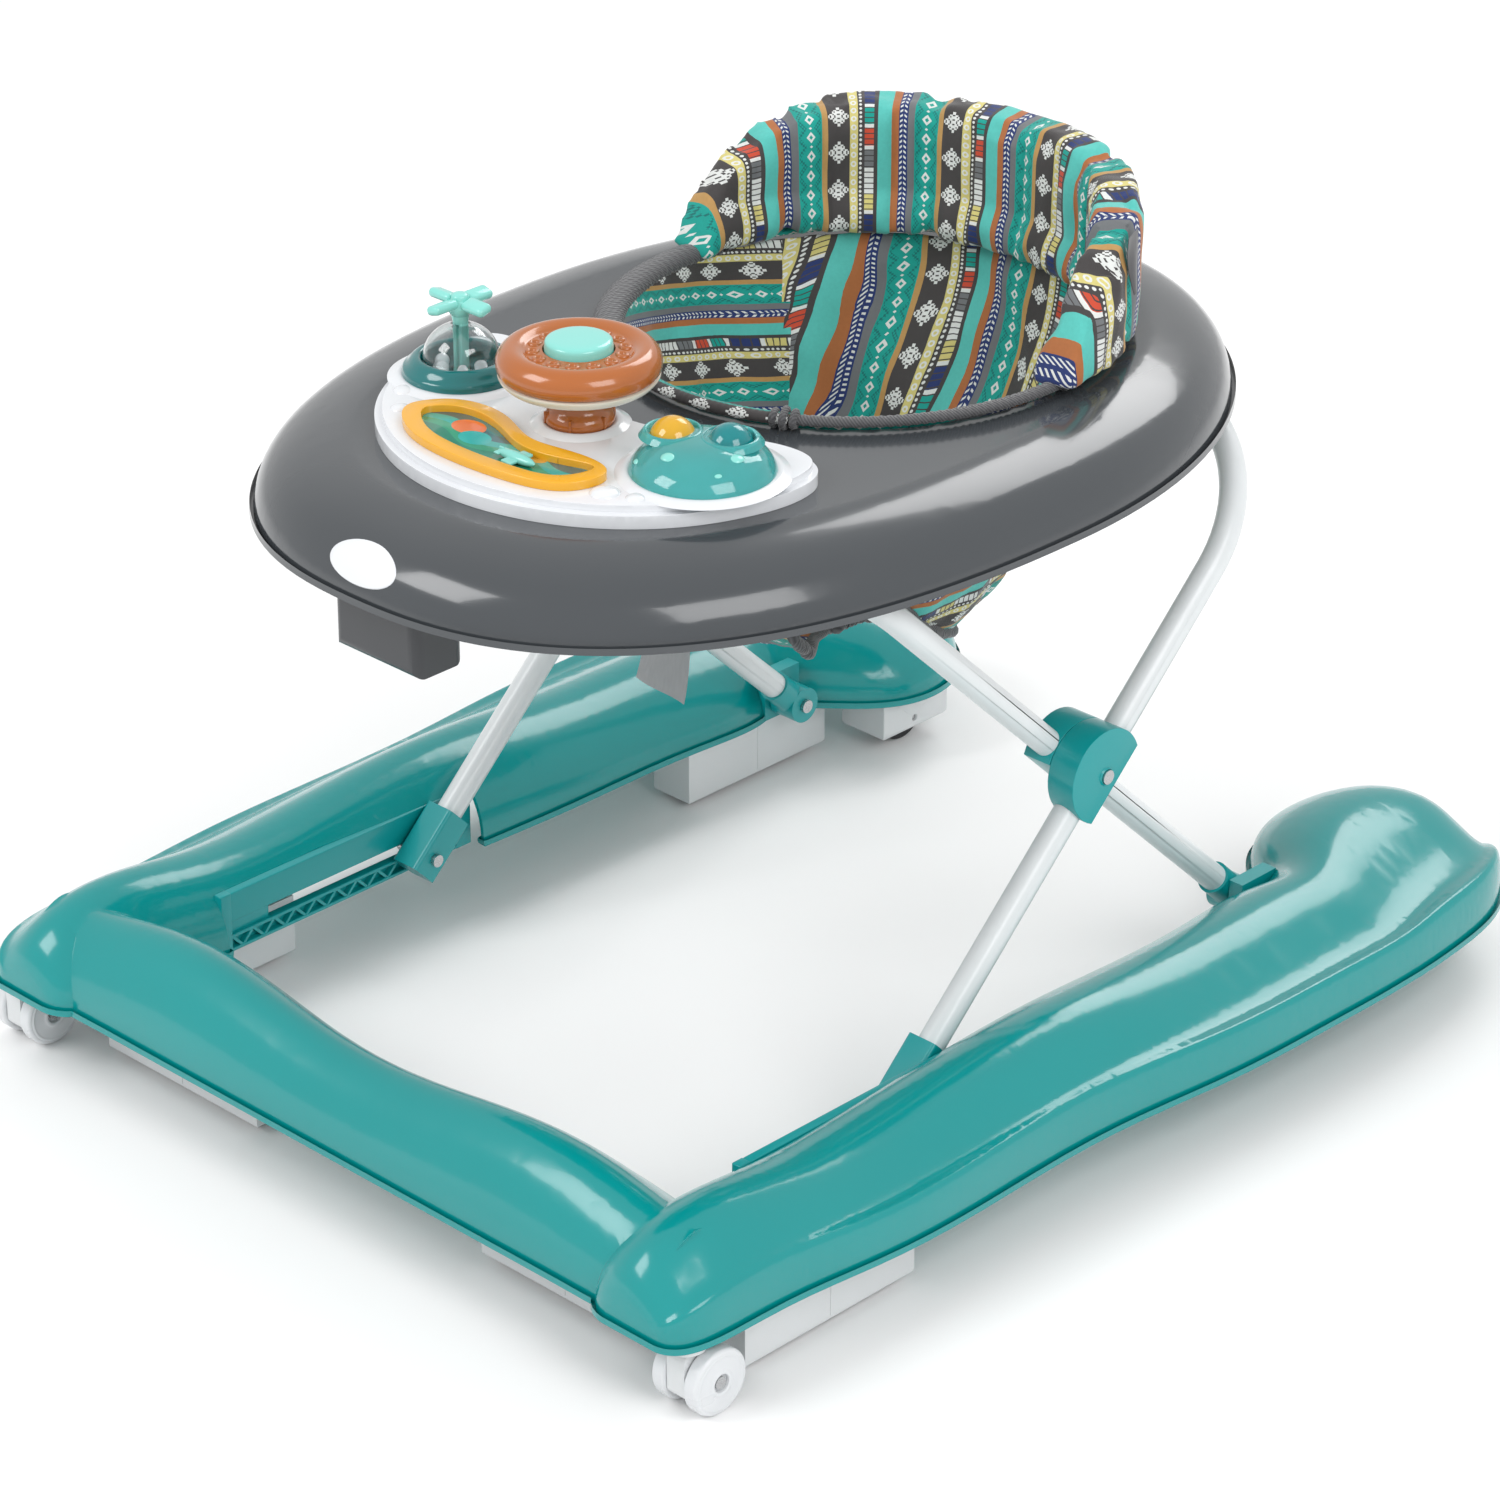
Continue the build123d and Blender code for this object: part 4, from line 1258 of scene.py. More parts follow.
@dataclass
class Backrest:
    """The padded backrest: a stuffed half ring with sewn creases."""

    voxel: float = 5.0
    shrink: float = 3.0
    cap: float = 7.0
    frames: int = 20
    creases: tuple[float, ...] = (-64.0, -27.0, 27.0, 64.0)
    crease_depth: float = 4.5
    centre_y: float = 89.0
    middle_radius: float = 163.0
    overhang: float = 9.0
    overhang_height: float = 34.0

    def stuffed(self) -> bmesh.types.BMesh:
        """Blows the plain pad up from inside, as stuffing does.

        Returns:
            The swollen pad.
        """
        plain = merged_copy("back_pad")
        plain.normal_update()
        for vert in plain.verts:
            vert.co -= vert.normal * self.shrink * MM
        data = bpy.data.meshes.new("pad_form")
        plain.to_mesh(data)
        plain.free()
        form = bpy.data.objects.new("pad_form", data)
        bpy.context.scene.collection.objects.link(form)
        remesh = form.modifiers.new("skin", "REMESH")
        remesh.mode = "VOXEL"
        remesh.voxel_size = self.voxel * MM
        graph = bpy.context.evaluated_depsgraph_get()
        skin = bpy.data.meshes.new_from_object(form.evaluated_get(graph))
        form.modifiers.clear()
        form.data = skin
        start = [vert.co.copy() for vert in skin.vertices]
        cloth = form.modifiers.new("stuffing", "CLOTH")
        cloth.settings.use_pressure = True
        cloth.settings.uniform_pressure_force = 4.0
        cloth.settings.effector_weights.gravity = 0.0
        cloth.settings.tension_stiffness = 15.0
        for number in range(1, self.frames + 1):
            bpy.context.scene.frame_set(number)
        graph = bpy.context.evaluated_depsgraph_get()
        swollen = [vert.co.copy() for vert in form.evaluated_get(graph).data.vertices]
        bpy.context.scene.frame_set(1)
        limit = self.cap * MM
        for vert, here, there in zip(skin.vertices, start, swollen):
            step = there - here
            vert.co = here + (step if step.length < limit else step.normalized() * limit)
        form.modifiers.clear()
        mesh = bmesh.new()
        mesh.from_mesh(form.data)
        bpy.data.objects.remove(form)
        return mesh

    def angle(self, point: Vector) -> float:
        """Degrees round the child from straight behind; positive to the right."""
        return math.degrees(math.atan2(point.x, point.y - self.centre_y * MM))

    def sew(self, mesh: bmesh.types.BMesh) -> None:
        """Presses the creases and the small puckers beside them.

        Args:
            mesh: the swollen pad, changed in place.
        """
        mesh.normal_update()
        low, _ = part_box("back_pad")
        for vert in mesh.verts:
            turn = self.angle(vert.co)
            arc = [math.radians(abs(turn - crease)) * self.middle_radius for crease in self.creases]
            near = min(arc)
            rise = (vert.co.z - low.z) / MM
            sway = noise.noise(Vector((turn * 0.08, rise * 0.03, 1.7))) * 5.0
            depth = dent(near + sway, self.crease_depth, 7.0)
            pucker = noise.noise(Vector((turn * 0.22, rise * 0.035, 4.1))) * 1.7
            pucker *= 0.5 + math.exp(-((near / 26.0) ** 2)) + math.exp(-((rise / 22.0) ** 2))
            vert.co -= vert.normal * (depth + pucker) * MM
            inward = Vector((vert.co.x, vert.co.y - self.centre_y * MM, 0))
            if inward.length < self.middle_radius * MM and rise < self.overhang_height:
                share = 1 - rise / self.overhang_height
                vert.co -= inward.normalized() * self.overhang * math.sin(math.pi * share * 0.75) * MM
                vert.co.z -= 2.5 * share * MM

    def print_place(self, point: Vector, centre: Vector) -> tuple[float, float]:
        """Across and along the stripes: round the child, and up."""
        turn = math.radians(self.angle(point))
        radius = math.hypot(point.x, point.y - self.centre_y * MM)
        return turn * self.middle_radius * MM, point.z + (radius - self.middle_radius * MM) * 0.6

    def build(self) -> bpy.types.Object:
        """Makes the backrest.

        Returns:
            The pad.
        """
        mesh = self.stuffed()
        bmesh.ops.subdivide_edges(mesh, edges=mesh.edges, cuts=1, use_grid_fill=True, smooth=0.6)
        self.sew(mesh)
        bmesh.ops.smooth_vert(mesh, verts=mesh.verts, factor=0.5, use_axis_x=True, use_axis_y=True,
                              use_axis_z=True)
        cloth_layer(mesh, self.print_place)
        pad = Piece("backrest", "tray", Finish.print_fabric, replaces=["back_pad"]).build(mesh, sharp=180)
        return pad


@dataclass
class Sling:
    """The fabric seat: a gathered bucket with two bound leg holes."""

    around: int = 144
    wall_rows: int = 46
    floor_rows: int = 14
    rings: tuple[tuple[float, float, float, float], ...] = (
        (156.0, 165.0, 84.0, 474.0), (150.0, 155.0, 82.0, 430.0), (132.0, 130.0, 76.0, 360.0),
        (106.0, 100.0, 66.0, 300.0), (80.0, 72.0, 60.0, 272.0))
    seams: tuple[float, ...] = (32.0, 148.0)
    seam_depth: float = 6.0
    seam_radius: float = 140.0
    fold_y: float = 66.0
    leg_centre: tuple[float, float, float] = (60.0, 22.0, 300.0)
    leg_radius: float = 43.0
    leg_lean: float = 35.0
    thickness: float = 1.6
    flat: tuple[float, float] = (1.01, 0.30)
    cut_area: float = 0.18

    def ring_at(self, share: float) -> tuple[float, float, float, float]:
        """Half width, half length, middle and height of the bucket.

        Args:
            share: 0 at the rim, 1 at the edge of the floor.

        Returns:
            The four sizes, in millimetres.
        """
        spot = share * (len(self.rings) - 1)
        index = min(int(spot), len(self.rings) - 2)
        t = spot - index
        before = self.rings[max(index - 1, 0)]
        after = self.rings[min(index + 2, len(self.rings) - 1)]
        first, second = self.rings[index], self.rings[index + 1]
        curve = []
        for p, a, b, q in zip(before, first, second, after):
            curve.append(0.5 * (2 * a + (b - p) * t + (2 * p - 5 * a + 4 * b - q) * t * t
                                + (3 * a - p - 3 * b + q) * t ** 3))
        return tuple(curve)

    def bucket(self) -> bmesh.types.BMesh:
        """Draws the bucket ring by ring from one circle.

        Returns:
            The single-skin bucket.
        """
        mesh = bmesh.new()
        made = bmesh.ops.create_circle(mesh, segments=self.around, radius=1.0)
        verts, edges = made["verts"], list(mesh.edges)
        unit = [vert.co.copy() for vert in verts]
        total = self.wall_rows + self.floor_rows
        for row in range(total):
            if row:
                grown = bmesh.ops.extrude_edge_only(mesh, edges=edges)["geom"]
                edges = [item for item in grown if isinstance(item, bmesh.types.BMEdge)
                         and all(len(v.link_faces) < 4 for v in item.verts) and item.is_boundary
                         and item not in first_edges]
                verts = [item for item in grown if isinstance(item, bmesh.types.BMVert)]
                verts.sort(key=lambda v: math.atan2(v.co.y - last_y, v.co.x / last_flat))
                order = sorted(unit, key=lambda c: math.atan2(c.y, c.x))
            else:
                first_edges = set(edges)
                order = unit
            if row < self.wall_rows:
                half_x, half_y, y, z = self.ring_at(row / (self.wall_rows - 1))
            else:
                left = 1.0 - (row - self.wall_rows + 1) / (self.floor_rows + 0.3)
                half_x, half_y, y, z = self.rings[-1]
                half_x, half_y, z = half_x * left, half_y * left, z
            last_y, last_flat = y * MM, half_x / half_y
            for vert, circle in zip(verts, order):
                vert.co = Vector((circle.x * half_x, y + circle.y * half_y, z)) * MM
        bmesh.ops.holes_fill(mesh, edges=edges, sides=self.around)
        return mesh

    def leg_distance(self, point: Vector) -> tuple[float, Vector]:
        """How far a point is from the nearer leg hole's axis, and the way out from it.

        Args:
            point: a point of the cloth.

        Returns:
            The distance in millimetres and a unit vector.
        """
        side = 1 if point.x > 0 else -1
        lean = math.radians(self.leg_lean)
        axis = Vector((0, -math.sin(lean), math.cos(lean)))
        middle = Vector((side * self.leg_centre[0], *self.leg_centre[1:])) * MM
        off = point - middle
        off -= axis * off.dot(axis)
        return off.length / MM, off.normalized()

    def cut_leg_holes(self, mesh: bmesh.types.BMesh) -> None:
        """Cuts the leg holes and draws their edges to a clean round.

        Args:
            mesh: the bucket, changed in place.
        """
        low = [face for face in mesh.faces if face.calc_center_median().z < 0.40]
        inside = [face for face in low if self.leg_distance(face.calc_center_median())[0] < self.leg_radius]
        bmesh.ops.delete(mesh, geom=inside, context="FACES")
        for vert in mesh.verts:
            if vert.co.z < 0.45 and any(edge.is_boundary for edge in vert.link_edges):
                distance, out = self.leg_distance(vert.co)
                vert.co += out * (self.leg_radius + 1.0 - distance) * MM

    def gather(self, mesh: bmesh.types.BMesh) -> None:
        """Folds the cloth: creased seams, slack between them and fine gathers under the rim.

        Args:
            mesh: the bucket, changed in place.
        """
        for vert in mesh.verts:
            centre = Vector((0, self.fold_y * MM, vert.co.z))
            out = vert.co - centre
            if out.length < 0.02:
                continue
            turn = math.degrees(math.atan2(out.y, out.x))
            down = (self.rings[0][3] * MM - vert.co.z) / MM
            hold = min(1.0, down / 30.0)
            push = 0.0
            for seam in self.seams:
                arc = math.radians(abs(turn - seam)) * self.seam_radius
                push -= dent(arc, -self.seam_depth, 9.0) * hold
                push -= dent(arc - 24.0, 2.0, 14.0) * hold
            slack = noise.noise(Vector((turn * 0.050, down * 0.012, 2.0))) * 10.0
            fold = noise.noise(Vector((turn * 0.13 + down * 0.030, down * 0.020, 6.0))) * 7.0
            gathers = math.sin(math.radians(turn) * 34.0 + noise.noise(Vector((turn * 0.1, 0, 0))) * 4.0)
            push += (slack + fold) * hold + gathers * 1.1 * math.exp(-down / 26.0)
            vert.co += out.normalized() * min(push, 3.0 + 6.0 * min(1.0, max(0.0, down - 40) / 30)) * MM
            near_leg = self.leg_distance(vert.co)[0] - self.leg_radius
            if 0 < near_leg < 22 and vert.co.z < 0.40:
                ripple = math.sin(math.radians(turn) * 26.0 + vert.co.z * 260.0)
                vert.co += out.normalized() * ripple * 1.5 * math.exp(-near_leg / 10.0) * MM

    def print_place(self, point: Vector, centre: Vector) -> tuple[float, float]:
        """Across and along the stripes: down the back panel, and round the side and front panels."""
        turn = math.degrees(math.atan2(centre.y - self.fold_y * MM, centre.x))
        if self.seams[0] < turn < self.seams[1] and centre.z > 0.275:
            return point.x * 1.06 + 0.012, point.z * 1.2 - point.y * 0.4
        slant = 0.30 if centre.x < 0 else -0.30
        return point.z * 1.25 + abs(point.x) * 0.25 + point.y * slant, point.y + abs(point.x) * 0.5

    def leg_bindings(self, mesh: bmesh.types.BMesh) -> list[bpy.types.Object]:
        """Runs an elastic binding round each leg hole.

        Args:
            mesh: the bucket with its holes cut.

        Returns:
            The two bindings.
        """
        made = []
        for side in Side:
            loop = [edge for edge in mesh.edges if edge.is_boundary and edge.verts[0].co.z < 0.45
                    and edge.verts[0].co.x * side.value > 0]
            vert = loop[0].verts[0]
            path, seen = [], set()
            while vert is not None:
                path.append(vert.co.copy())
                seen.add(vert)
                ahead = [edge.other_vert(vert) for edge in vert.link_edges if edge in loop]
                vert = next((other for other in ahead if other not in seen), None)
            smooth = [(path[i - 1] + path[i] * 2 + path[(i + 1) % len(path)]) / 4 for i in range(len(path))]
            tube = sweep(smooth, lambda share: (4.6 + 0.5 * math.sin(share * 190.0)) * MM, 10)
            made.append(Piece(f"leg_binding_{side.word}", "tray", Finish.tape, "print_fabric").build(tube,
                    sharp=180))
        return made

    def build(self, trim: Sequence[bpy.types.Object]) -> bpy.types.Object:
        """Makes the sling.

        Args:
            trim: the hem pieces that are sewn to its rim.

        Returns:
            The sling.
        """
        mesh = self.bucket()
        self.cut_leg_holes(mesh)
        self.gather(mesh)
        for _ in range(2):
            bmesh.ops.smooth_vert(mesh, verts=[v for v in mesh.verts if not v.is_boundary], factor=0.4,
                                  use_axis_x=True, use_axis_y=True, use_axis_z=True)
        bindings = self.leg_bindings(mesh)
        cloth_layer(mesh, self.print_place)
        piece = Piece("seat_cloth", "tray", Finish.print_fabric, replaces=["seat_sling"])
        cloth = piece.build(mesh, sharp=180)
        wall = cloth.modifiers.new("thickness", "SOLIDIFY")
        wall.thickness = self.thickness * MM
        wall.offset = -1.0
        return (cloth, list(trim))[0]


@dataclass
class Hem:
    """The hem round the seat opening: printed, with elastic tape at the sides, and knotted at its ties."""

    half_x: float = 163.0
    half_y: float = 173.0
    middle_y: float = 84.0
    height: float = 476.5
    knots: tuple[float, ...] = (-62.0, 8.0, 172.0, 242.0)

    def spot(self, turn: float) -> Vector:
        """A point of the hem line.

        Args:
            turn: degrees round from the right.

        Returns:
            The point.
        """
        angle = math.radians(turn)
        return Vector((self.half_x * math.cos(angle), self.middle_y + self.half_y * math.sin(angle),
                       self.height)) * MM

    def strip(self, start: float, end: float, steps: int) -> list[Vector]:
        """Points along the hem from one angle to another."""
        return [self.spot(start + (end - start) * step / steps) for step in range(steps + 1)]

    def knot(self, number: int, turn: float) -> bpy.types.Object:
        """Makes one bunched knot of tape.

        Args:
            number: which knot.
            turn: where on the hem, in degrees.

        Returns:
            The knot.
        """
        mesh = bmesh.new()
        mesh.loops.layers.uv.new("cloth")
        for ring, (reach, size) in enumerate(((-7.0, 5.0), (0.0, 6.6), (6.5, 5.2))):
            place = self.spot(turn + reach / 2.9)
            path = []
            for step in range(24):
                angle = math.tau * step / 24
                radial = Vector((math.cos(math.radians(turn)), math.sin(math.radians(turn)), 0))
                wobble = 1 + 0.12 * math.sin(angle * 3 + ring)
                path.append(place + (radial * math.cos(angle) + Vector((0, 0,
                        0.8)) * math.sin(angle)) * size * wobble * MM)
            join(mesh, sweep(path, lambda share: 2.6 * MM, 8))
        return Piece(f"hem_knot_{number}", "tray", Finish.tape, "print_fabric").build(mesh, sharp=180)

    def build(self) -> list[bpy.types.Object]:
        """Makes the hem's runs and knots.

        Returns:
            All of them.
        """
        made = []
        runs = (("front", 245.0, 299.0, Finish.print_fabric, 6.0), ("right", -60.0, 8.0, Finish.tape, 5.2),
                ("left", 172.0, 242.0, Finish.tape, 10.5), ("rear", 10.0, 170.0, Finish.print_fabric, 4.2))
        for word, start, end, finish, width in runs:
            path = self.strip(start, end, 120)
            pucker = 0.5 if finish is Finish.tape else 0.25
            tube = sweep(path, lambda share: (width + pucker * math.sin(share * 230.0)) * MM, 12,
                         closed=False, flat=0.62)
            made.append(Piece(f"seat_hem_{word}", "tray", finish, "print_fabric").build(tube, sharp=180))
        return made + [self.knot(number, turn) for number, turn in enumerate(self.knots, start=1)]


@dataclass
class Labels:
    """The blank care label under the seat and the blank tab on the backrest."""

    care_size: tuple[float, float] = (52.0, 74.0)
    care_top: tuple[float, float, float] = (-44.0, -52.0, 312.0)
    tab_size: tuple[float, float] = (20.0, 38.0)
    tab_angle: float = 24.0

    def leaf(self, size: tuple[float, float], curl: float) -> bmesh.types.BMesh:
        """A thin hanging leaf of cloth with a little curl.

        Args:
            size: width and length in millimetres.
            curl: how far its foot swings out, in millimetres.

        Returns:
            The leaf, with its top edge on the X axis.
        """
        mesh = bmesh.new()
        bmesh.ops.create_grid(mesh, x_segments=12, y_segments=16, size=0.5)
        for vert in mesh.verts:
            across, down = vert.co.x, 0.5 - vert.co.y
            swing = curl * down ** 2 + math.sin(across * 4.0 + down * 3.0) * 2.4 * down
            vert.co = Vector((across * size[0], -swing, -down * size[1])) * MM
        bmesh.ops.recalc_face_normals(mesh, faces=mesh.faces)
        bmesh.ops.solidify(mesh, geom=mesh.faces[:], thickness=0.5 * MM)
        return mesh

    def build(self) -> None:
        """Makes both labels."""
        care = self.leaf(self.care_size, 9.0)
        move(care, care.verts, Matrix.Translation(Vector(self.care_top) * MM) @ Matrix.Rotation(math.radians(-12), 4, "Z"))
        label = Piece("care_label", "tray", Finish.label, "print_fabric").build(care)
        tab = self.leaf(self.tab_size, 3.0)
        turn = Matrix.Rotation(math.radians(self.tab_angle + 90), 4, "Z")
        out = Vector((math.cos(math.radians(self.tab_angle)), math.sin(math.radians(self.tab_angle)), 0))
        place = Vector((0, 89, 561)) + out * 180.0
        move(tab, tab.verts, Matrix.Translation(place * MM) @ turn)
        side_tab = Piece("side_tab", "tray", Finish.dark_label, "print_fabric").build(tab)


# ------------------------------------------------------------------------- toys


@dataclass
class ToyPanel:
    """White panel with raised collars round the toys and small bumps along its front."""

    top: float = 484.0
    toy_y: float = -175.0
    toy_x: float = 109.0

    def collar(self, x: float, radius: float) -> bmesh.types.BMesh:
        """Soft ring of plastic that a toy stands in."""
        profile = soften([(radius - 4, 0.0), (radius - 1, 2.4), (radius + 2, 2.6), (radius + 7, 0.4),
                          (radius + 9, -0.5)])
        return lathe(profile, Vector((x, self.toy_y, self.top)) * MM, 72)

    def build(self) -> None:
        """Makes the panel."""
        mesh = merged_copy("toy_panel")
        bevel_all(mesh, 3.4 * MM, 5, 50.0)
        bumps = ((-116, -218, 8), (-97, -239, 7), (88, -239, 10), (107, -231, 7))
        parts = [ball(size, (x, y, self.top - 0.8), (1, 1, 0.42), 14) for x, y, size in bumps]
        parts += [self.collar(-self.toy_x, 39.0), self.collar(self.toy_x, 47.0), self.collar(0.0, 24.0)]
        join(mesh, *parts)
        Piece("panel_moulding", "tray", Finish.white_gloss, replaces=["toy_panel"]).build(mesh, sharp=50)


@dataclass
class SteeringToy:
    """Steering wheel on its column: a fat rim, a ring of bored studs and a squeaker button."""

    y: float = -175.0
    studs: int = 14
    stud_ring: float = 29.0
    floor: float = 533.7

    def rim(self) -> bmesh.types.BMesh:
        """Rust-coloured upper half of the wheel."""
        profile = soften([(22.4, 520.0), (22.4, 534.6), (24.0, 534.2), (33.5, 533.2), (36.5, 535.6),
                          (42.0, 537.4), (48.0, 535.5),
                          (52.6, 529.5), (52.6, 522.5), (50.5, 518.6), (44.0, 518.6)])
        return lathe(profile, Vector((0, self.y * MM, 0)), 96)

    def stud(self, number: int) -> bmesh.types.BMesh:
        """One stud: a small ring with a dimple in it."""
        profile = soften([(0.0, -0.6), (1.2, -0.4), (2.2, 1.0), (3.4, 1.5), (4.6, 0.7), (5.0, -0.6)])
        mesh = lathe(profile, Vector(), 20)
        angle = math.tau * number / self.studs
        place = Vector((self.stud_ring * math.cos(angle), self.y + self.stud_ring * math.sin(angle),
                        self.floor)) * MM
        move(mesh, mesh.verts, Matrix.Translation(place))
        return mesh

    def build(self) -> None:
        """Makes the wheel, its cream underside, its column and its button."""
        rim = self.rim()
        join(rim, *[self.stud(number) for number in range(self.studs)])
        Piece("steering_rim", "steering", Finish.rust_plastic, replaces=["steering_wheel"]).build(rim)
        under = lathe(soften([(20.0, 508.0), (32.0, 508.2), (46.0, 511.0), (51.4, 516.5), (51.4, 519.2),
                              (22.0, 519.4)]),
                      Vector((0, self.y * MM, 0)), 96)
        Piece("steering_bowl", "steering", Finish.cream_plastic).build(under)
        column = lathe(soften([(8.0, 478.0), (22.5, 484.6), (22.5, 491.0), (17.5, 497.0), (16.5, 508.6)]),
                       Vector((0, self.y * MM, 0)), 64)
        for number in range(6):
            rib = rounded_block((19.5, -0.8, 486), (23.2, 0.8, 494), 0.3, 2)
            move(rib, rib.verts, Matrix.Translation((0, self.y * MM,
                    0)) @ Matrix.Rotation(math.tau * number / 6, 4, "Z"))
            join(column, rib)
        Piece("steering_column", "steering", Finish.rust_plastic,
              replaces=["steering_underside"]).build(column)
        button = lathe(soften([(0.0, 542.2), (15.0, 542.0), (20.8, 541.0), (22.0, 538.0), (22.0, 524.0)]),
                       Vector((0, self.y * MM, 0)), 72)
        Piece("squeaker_button", "horn_button", Finish.aqua_plastic, replaces=["horn_button"]).build(button)


@dataclass
class PropellerToy:
    """Propeller over a clear dome with rattling beads."""

    x: float = -109.0
    y: float = -175.0
    bead: float = 5.0
    bead_ring: float = 14
    blade_height: float = 534.4

    def place(self) -> Vector:
        """Foot of the toy's axis."""
        return Vector((self.x, self.y, 0)) * MM

    def build(self) -> None:
        """Makes the ring, the dome, the beads and the propeller."""
        ring = lathe(soften([(25.4, 485.0), (25.4, 496.5), (28.0, 498.4), (32.0, 497.0), (35.5, 492.5),
                             (38.0, 491.0),
                             (38.6, 488.0), (38.6, 484.0)]), self.place(), 72)
        Piece("propeller_ring", "tray", Finish.deep_teal_plastic, replaces=["dome_ring"]).build(ring)
        arc = [(25.0 * math.cos(math.radians(a)), 496.0 + 23.5 * math.sin(math.radians(a)))
               for a in range(0, 83, 6)]
        inner = [(24.0 * math.cos(math.radians(a)), 496.0 + 22.5 * math.sin(math.radians(a)))
                 for a in range(82, -1, -6)]
        dome = lathe(arc + inner + [arc[0]], self.place(), 72)
        Piece("propeller_dome", "tray", Finish.clear_plastic, replaces=["clear_dome"]).build(dome, sharp=60)
        floor = lathe([(0.0, 486.0), (25.6, 486.0)], self.place(), 48)
        Piece("propeller_floor", "tray", Finish.deep_teal_plastic).build(floor)
        beads = bmesh.new()
        for turn in (200, 255, 320, 20):
            angle = math.radians(turn)
            spot = (self.x + self.bead_ring * math.cos(angle), self.y + self.bead_ring * math.sin(angle),
                    491.0)
            join(beads, ball(self.bead, spot, cut=12))
        Piece("rattle_beads", "tray", Finish.white_gloss, replaces=["dome_beads"]).build(beads)
        rotor = ball(8.2, (0, 0, 531.0), (1, 1, 0.95), 16)
        for number in range(4):
            blade = rounded_block((5, -5.6, 531.2), (25, 5.6, 537.6), 2.9, 4)
            twist = Matrix.Translation((0, 0, self.blade_height * MM)) @ Matrix.Rotation(math.radians(16),
                    4, "X") \
                @ Matrix.Translation((0, 0, -self.blade_height * MM))
            move(blade, blade.verts, Matrix.Rotation(math.tau * number / 4, 4, "Z") @ twist)
            join(rotor, blade)
        join(rotor, lathe(soften([(0.0, 540.5), (5.0, 540.0), (6.0, 537.0), (6.0, 532.0)]), Vector(), 32))
        join(rotor, lathe(soften([(6.5, 530.0), (5.4, 522.0), (4.4, 519.5)]), Vector(), 32))
        for side in (-1, 1):
            join(rotor, rounded_block((side * 2.9 - 1.5, -3.2, 486), (side * 2.9 + 1.5, 3.2, 522), 0.8, 2))
        join(rotor, rounded_block((-3.5, -1.0, 486), (3.5, 1.0, 520), 0.4, 2))
        move(rotor, rotor.verts, Matrix.Translation(self.place()))
        Piece("propeller_rotor", "propeller", Finish.aqua_plastic, replaces=["propeller"]).build(rotor)


@dataclass
class PictureToy:
    """Window with its yellow frame and the plane that slides in it."""

    def build(self) -> None:
        """Makes the frame and the plane."""
        mesh = merged_copy("picture_frame")
        bevel_all(mesh, 2.2 * MM, 4, 60.0)
        Piece("window_frame", "tray", Finish.yellow_plastic, replaces=["picture_frame"]).build(mesh,
                sharp=50)
        centre = box_centre("plane_slider") / MM
        body = ball(4.2, (centre.x, centre.y, centre.z), (3.9, 1.0, 0.85), 14)
        join(body, rounded_block((centre.x - 4, centre.y - 10, centre.z - 1.6),
                                 (centre.x + 5, centre.y + 10, centre.z + 0.6), 0.9, 3))
        join(body, rounded_block((centre.x - 15.5, centre.y - 5, centre.z - 0.6),
                                 (centre.x - 11, centre.y + 5, centre.z + 0.9), 0.6, 3))
        join(body, rounded_block((centre.x - 15.0, centre.y - 0.8, centre.z),
                                 (centre.x - 11, centre.y + 0.8, centre.z + 3.4), 0.6, 3))
        Piece("sliding_plane", "plane_slider", Finish.aqua_plastic, replaces=["plane_slider"]).build(body)


@dataclass
class BubbleToy:
    """Tinted dome with two balls to press."""

    x: float = 109.0
    y: float = -175.0
    ball: float = 15.0

    def build(self) -> None:
        """Makes the dome, its bubbles and the two balls."""
        centre = Vector((self.x, self.y, 0)) * MM
        dome = lathe(soften([(0.0, 507.0), (16.0, 506.6), (29.0, 503.5), (40.0, 497.5), (45.5, 490.0),
                             (47.0, 484.0)]), centre, 96)
        Piece("bubble_shell", "tray", Finish.aqua_clear, replaces=["bubble_dome"]).build(dome)
        spots = bmesh.new()
        for number in range(11):
            angle = math.radians(205 + number * 31.0)
            reach = 34.0 + 7.0 * math.sin(number * 2.3)
            height = 507.0 - (reach / 47.0) ** 3 * 19.0 - 1.6
            place = (self.x + reach * math.cos(angle), self.y + reach * math.sin(angle), height)
            join(spots, ball(2.4 + 1.8 * (number % 3), place, (1, 1, 0.42), 10))
        Piece("bubble_spots", "tray", Finish.aqua_plastic).build(spots)
        for word, finish in (("yellow", Finish.yellow_clear), ("teal", Finish.teal_clear)):
            node = f"ball_{word}"
            middle = box_centre(node) / MM
            _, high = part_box(node)
            top = high.z / MM
            turns = [math.radians(a) for a in range(0, 91, 6)]
            dome = [(self.ball * math.sin(turn), top - self.ball + self.ball * math.cos(turn))
                    for turn in turns]
            mesh = lathe(dome + [(14.6, top - 20.0)], Vector((middle.x, middle.y, 0)) * MM, 48)
            Piece(f"press_ball_{word}", node, finish, replaces=[node]).build(mesh)
            collar = lathe(soften([(15.2, 503.0), (16.0, 508.0), (18.2, 508.0), (21.5, 503.5)]),
                           Vector((middle.x, middle.y, -0.6)) * MM, 48)
            Piece(f"ball_collar_{word}", "tray", Finish.aqua_clear).build(collar)


# ----------------------------------------------------------------------- studio


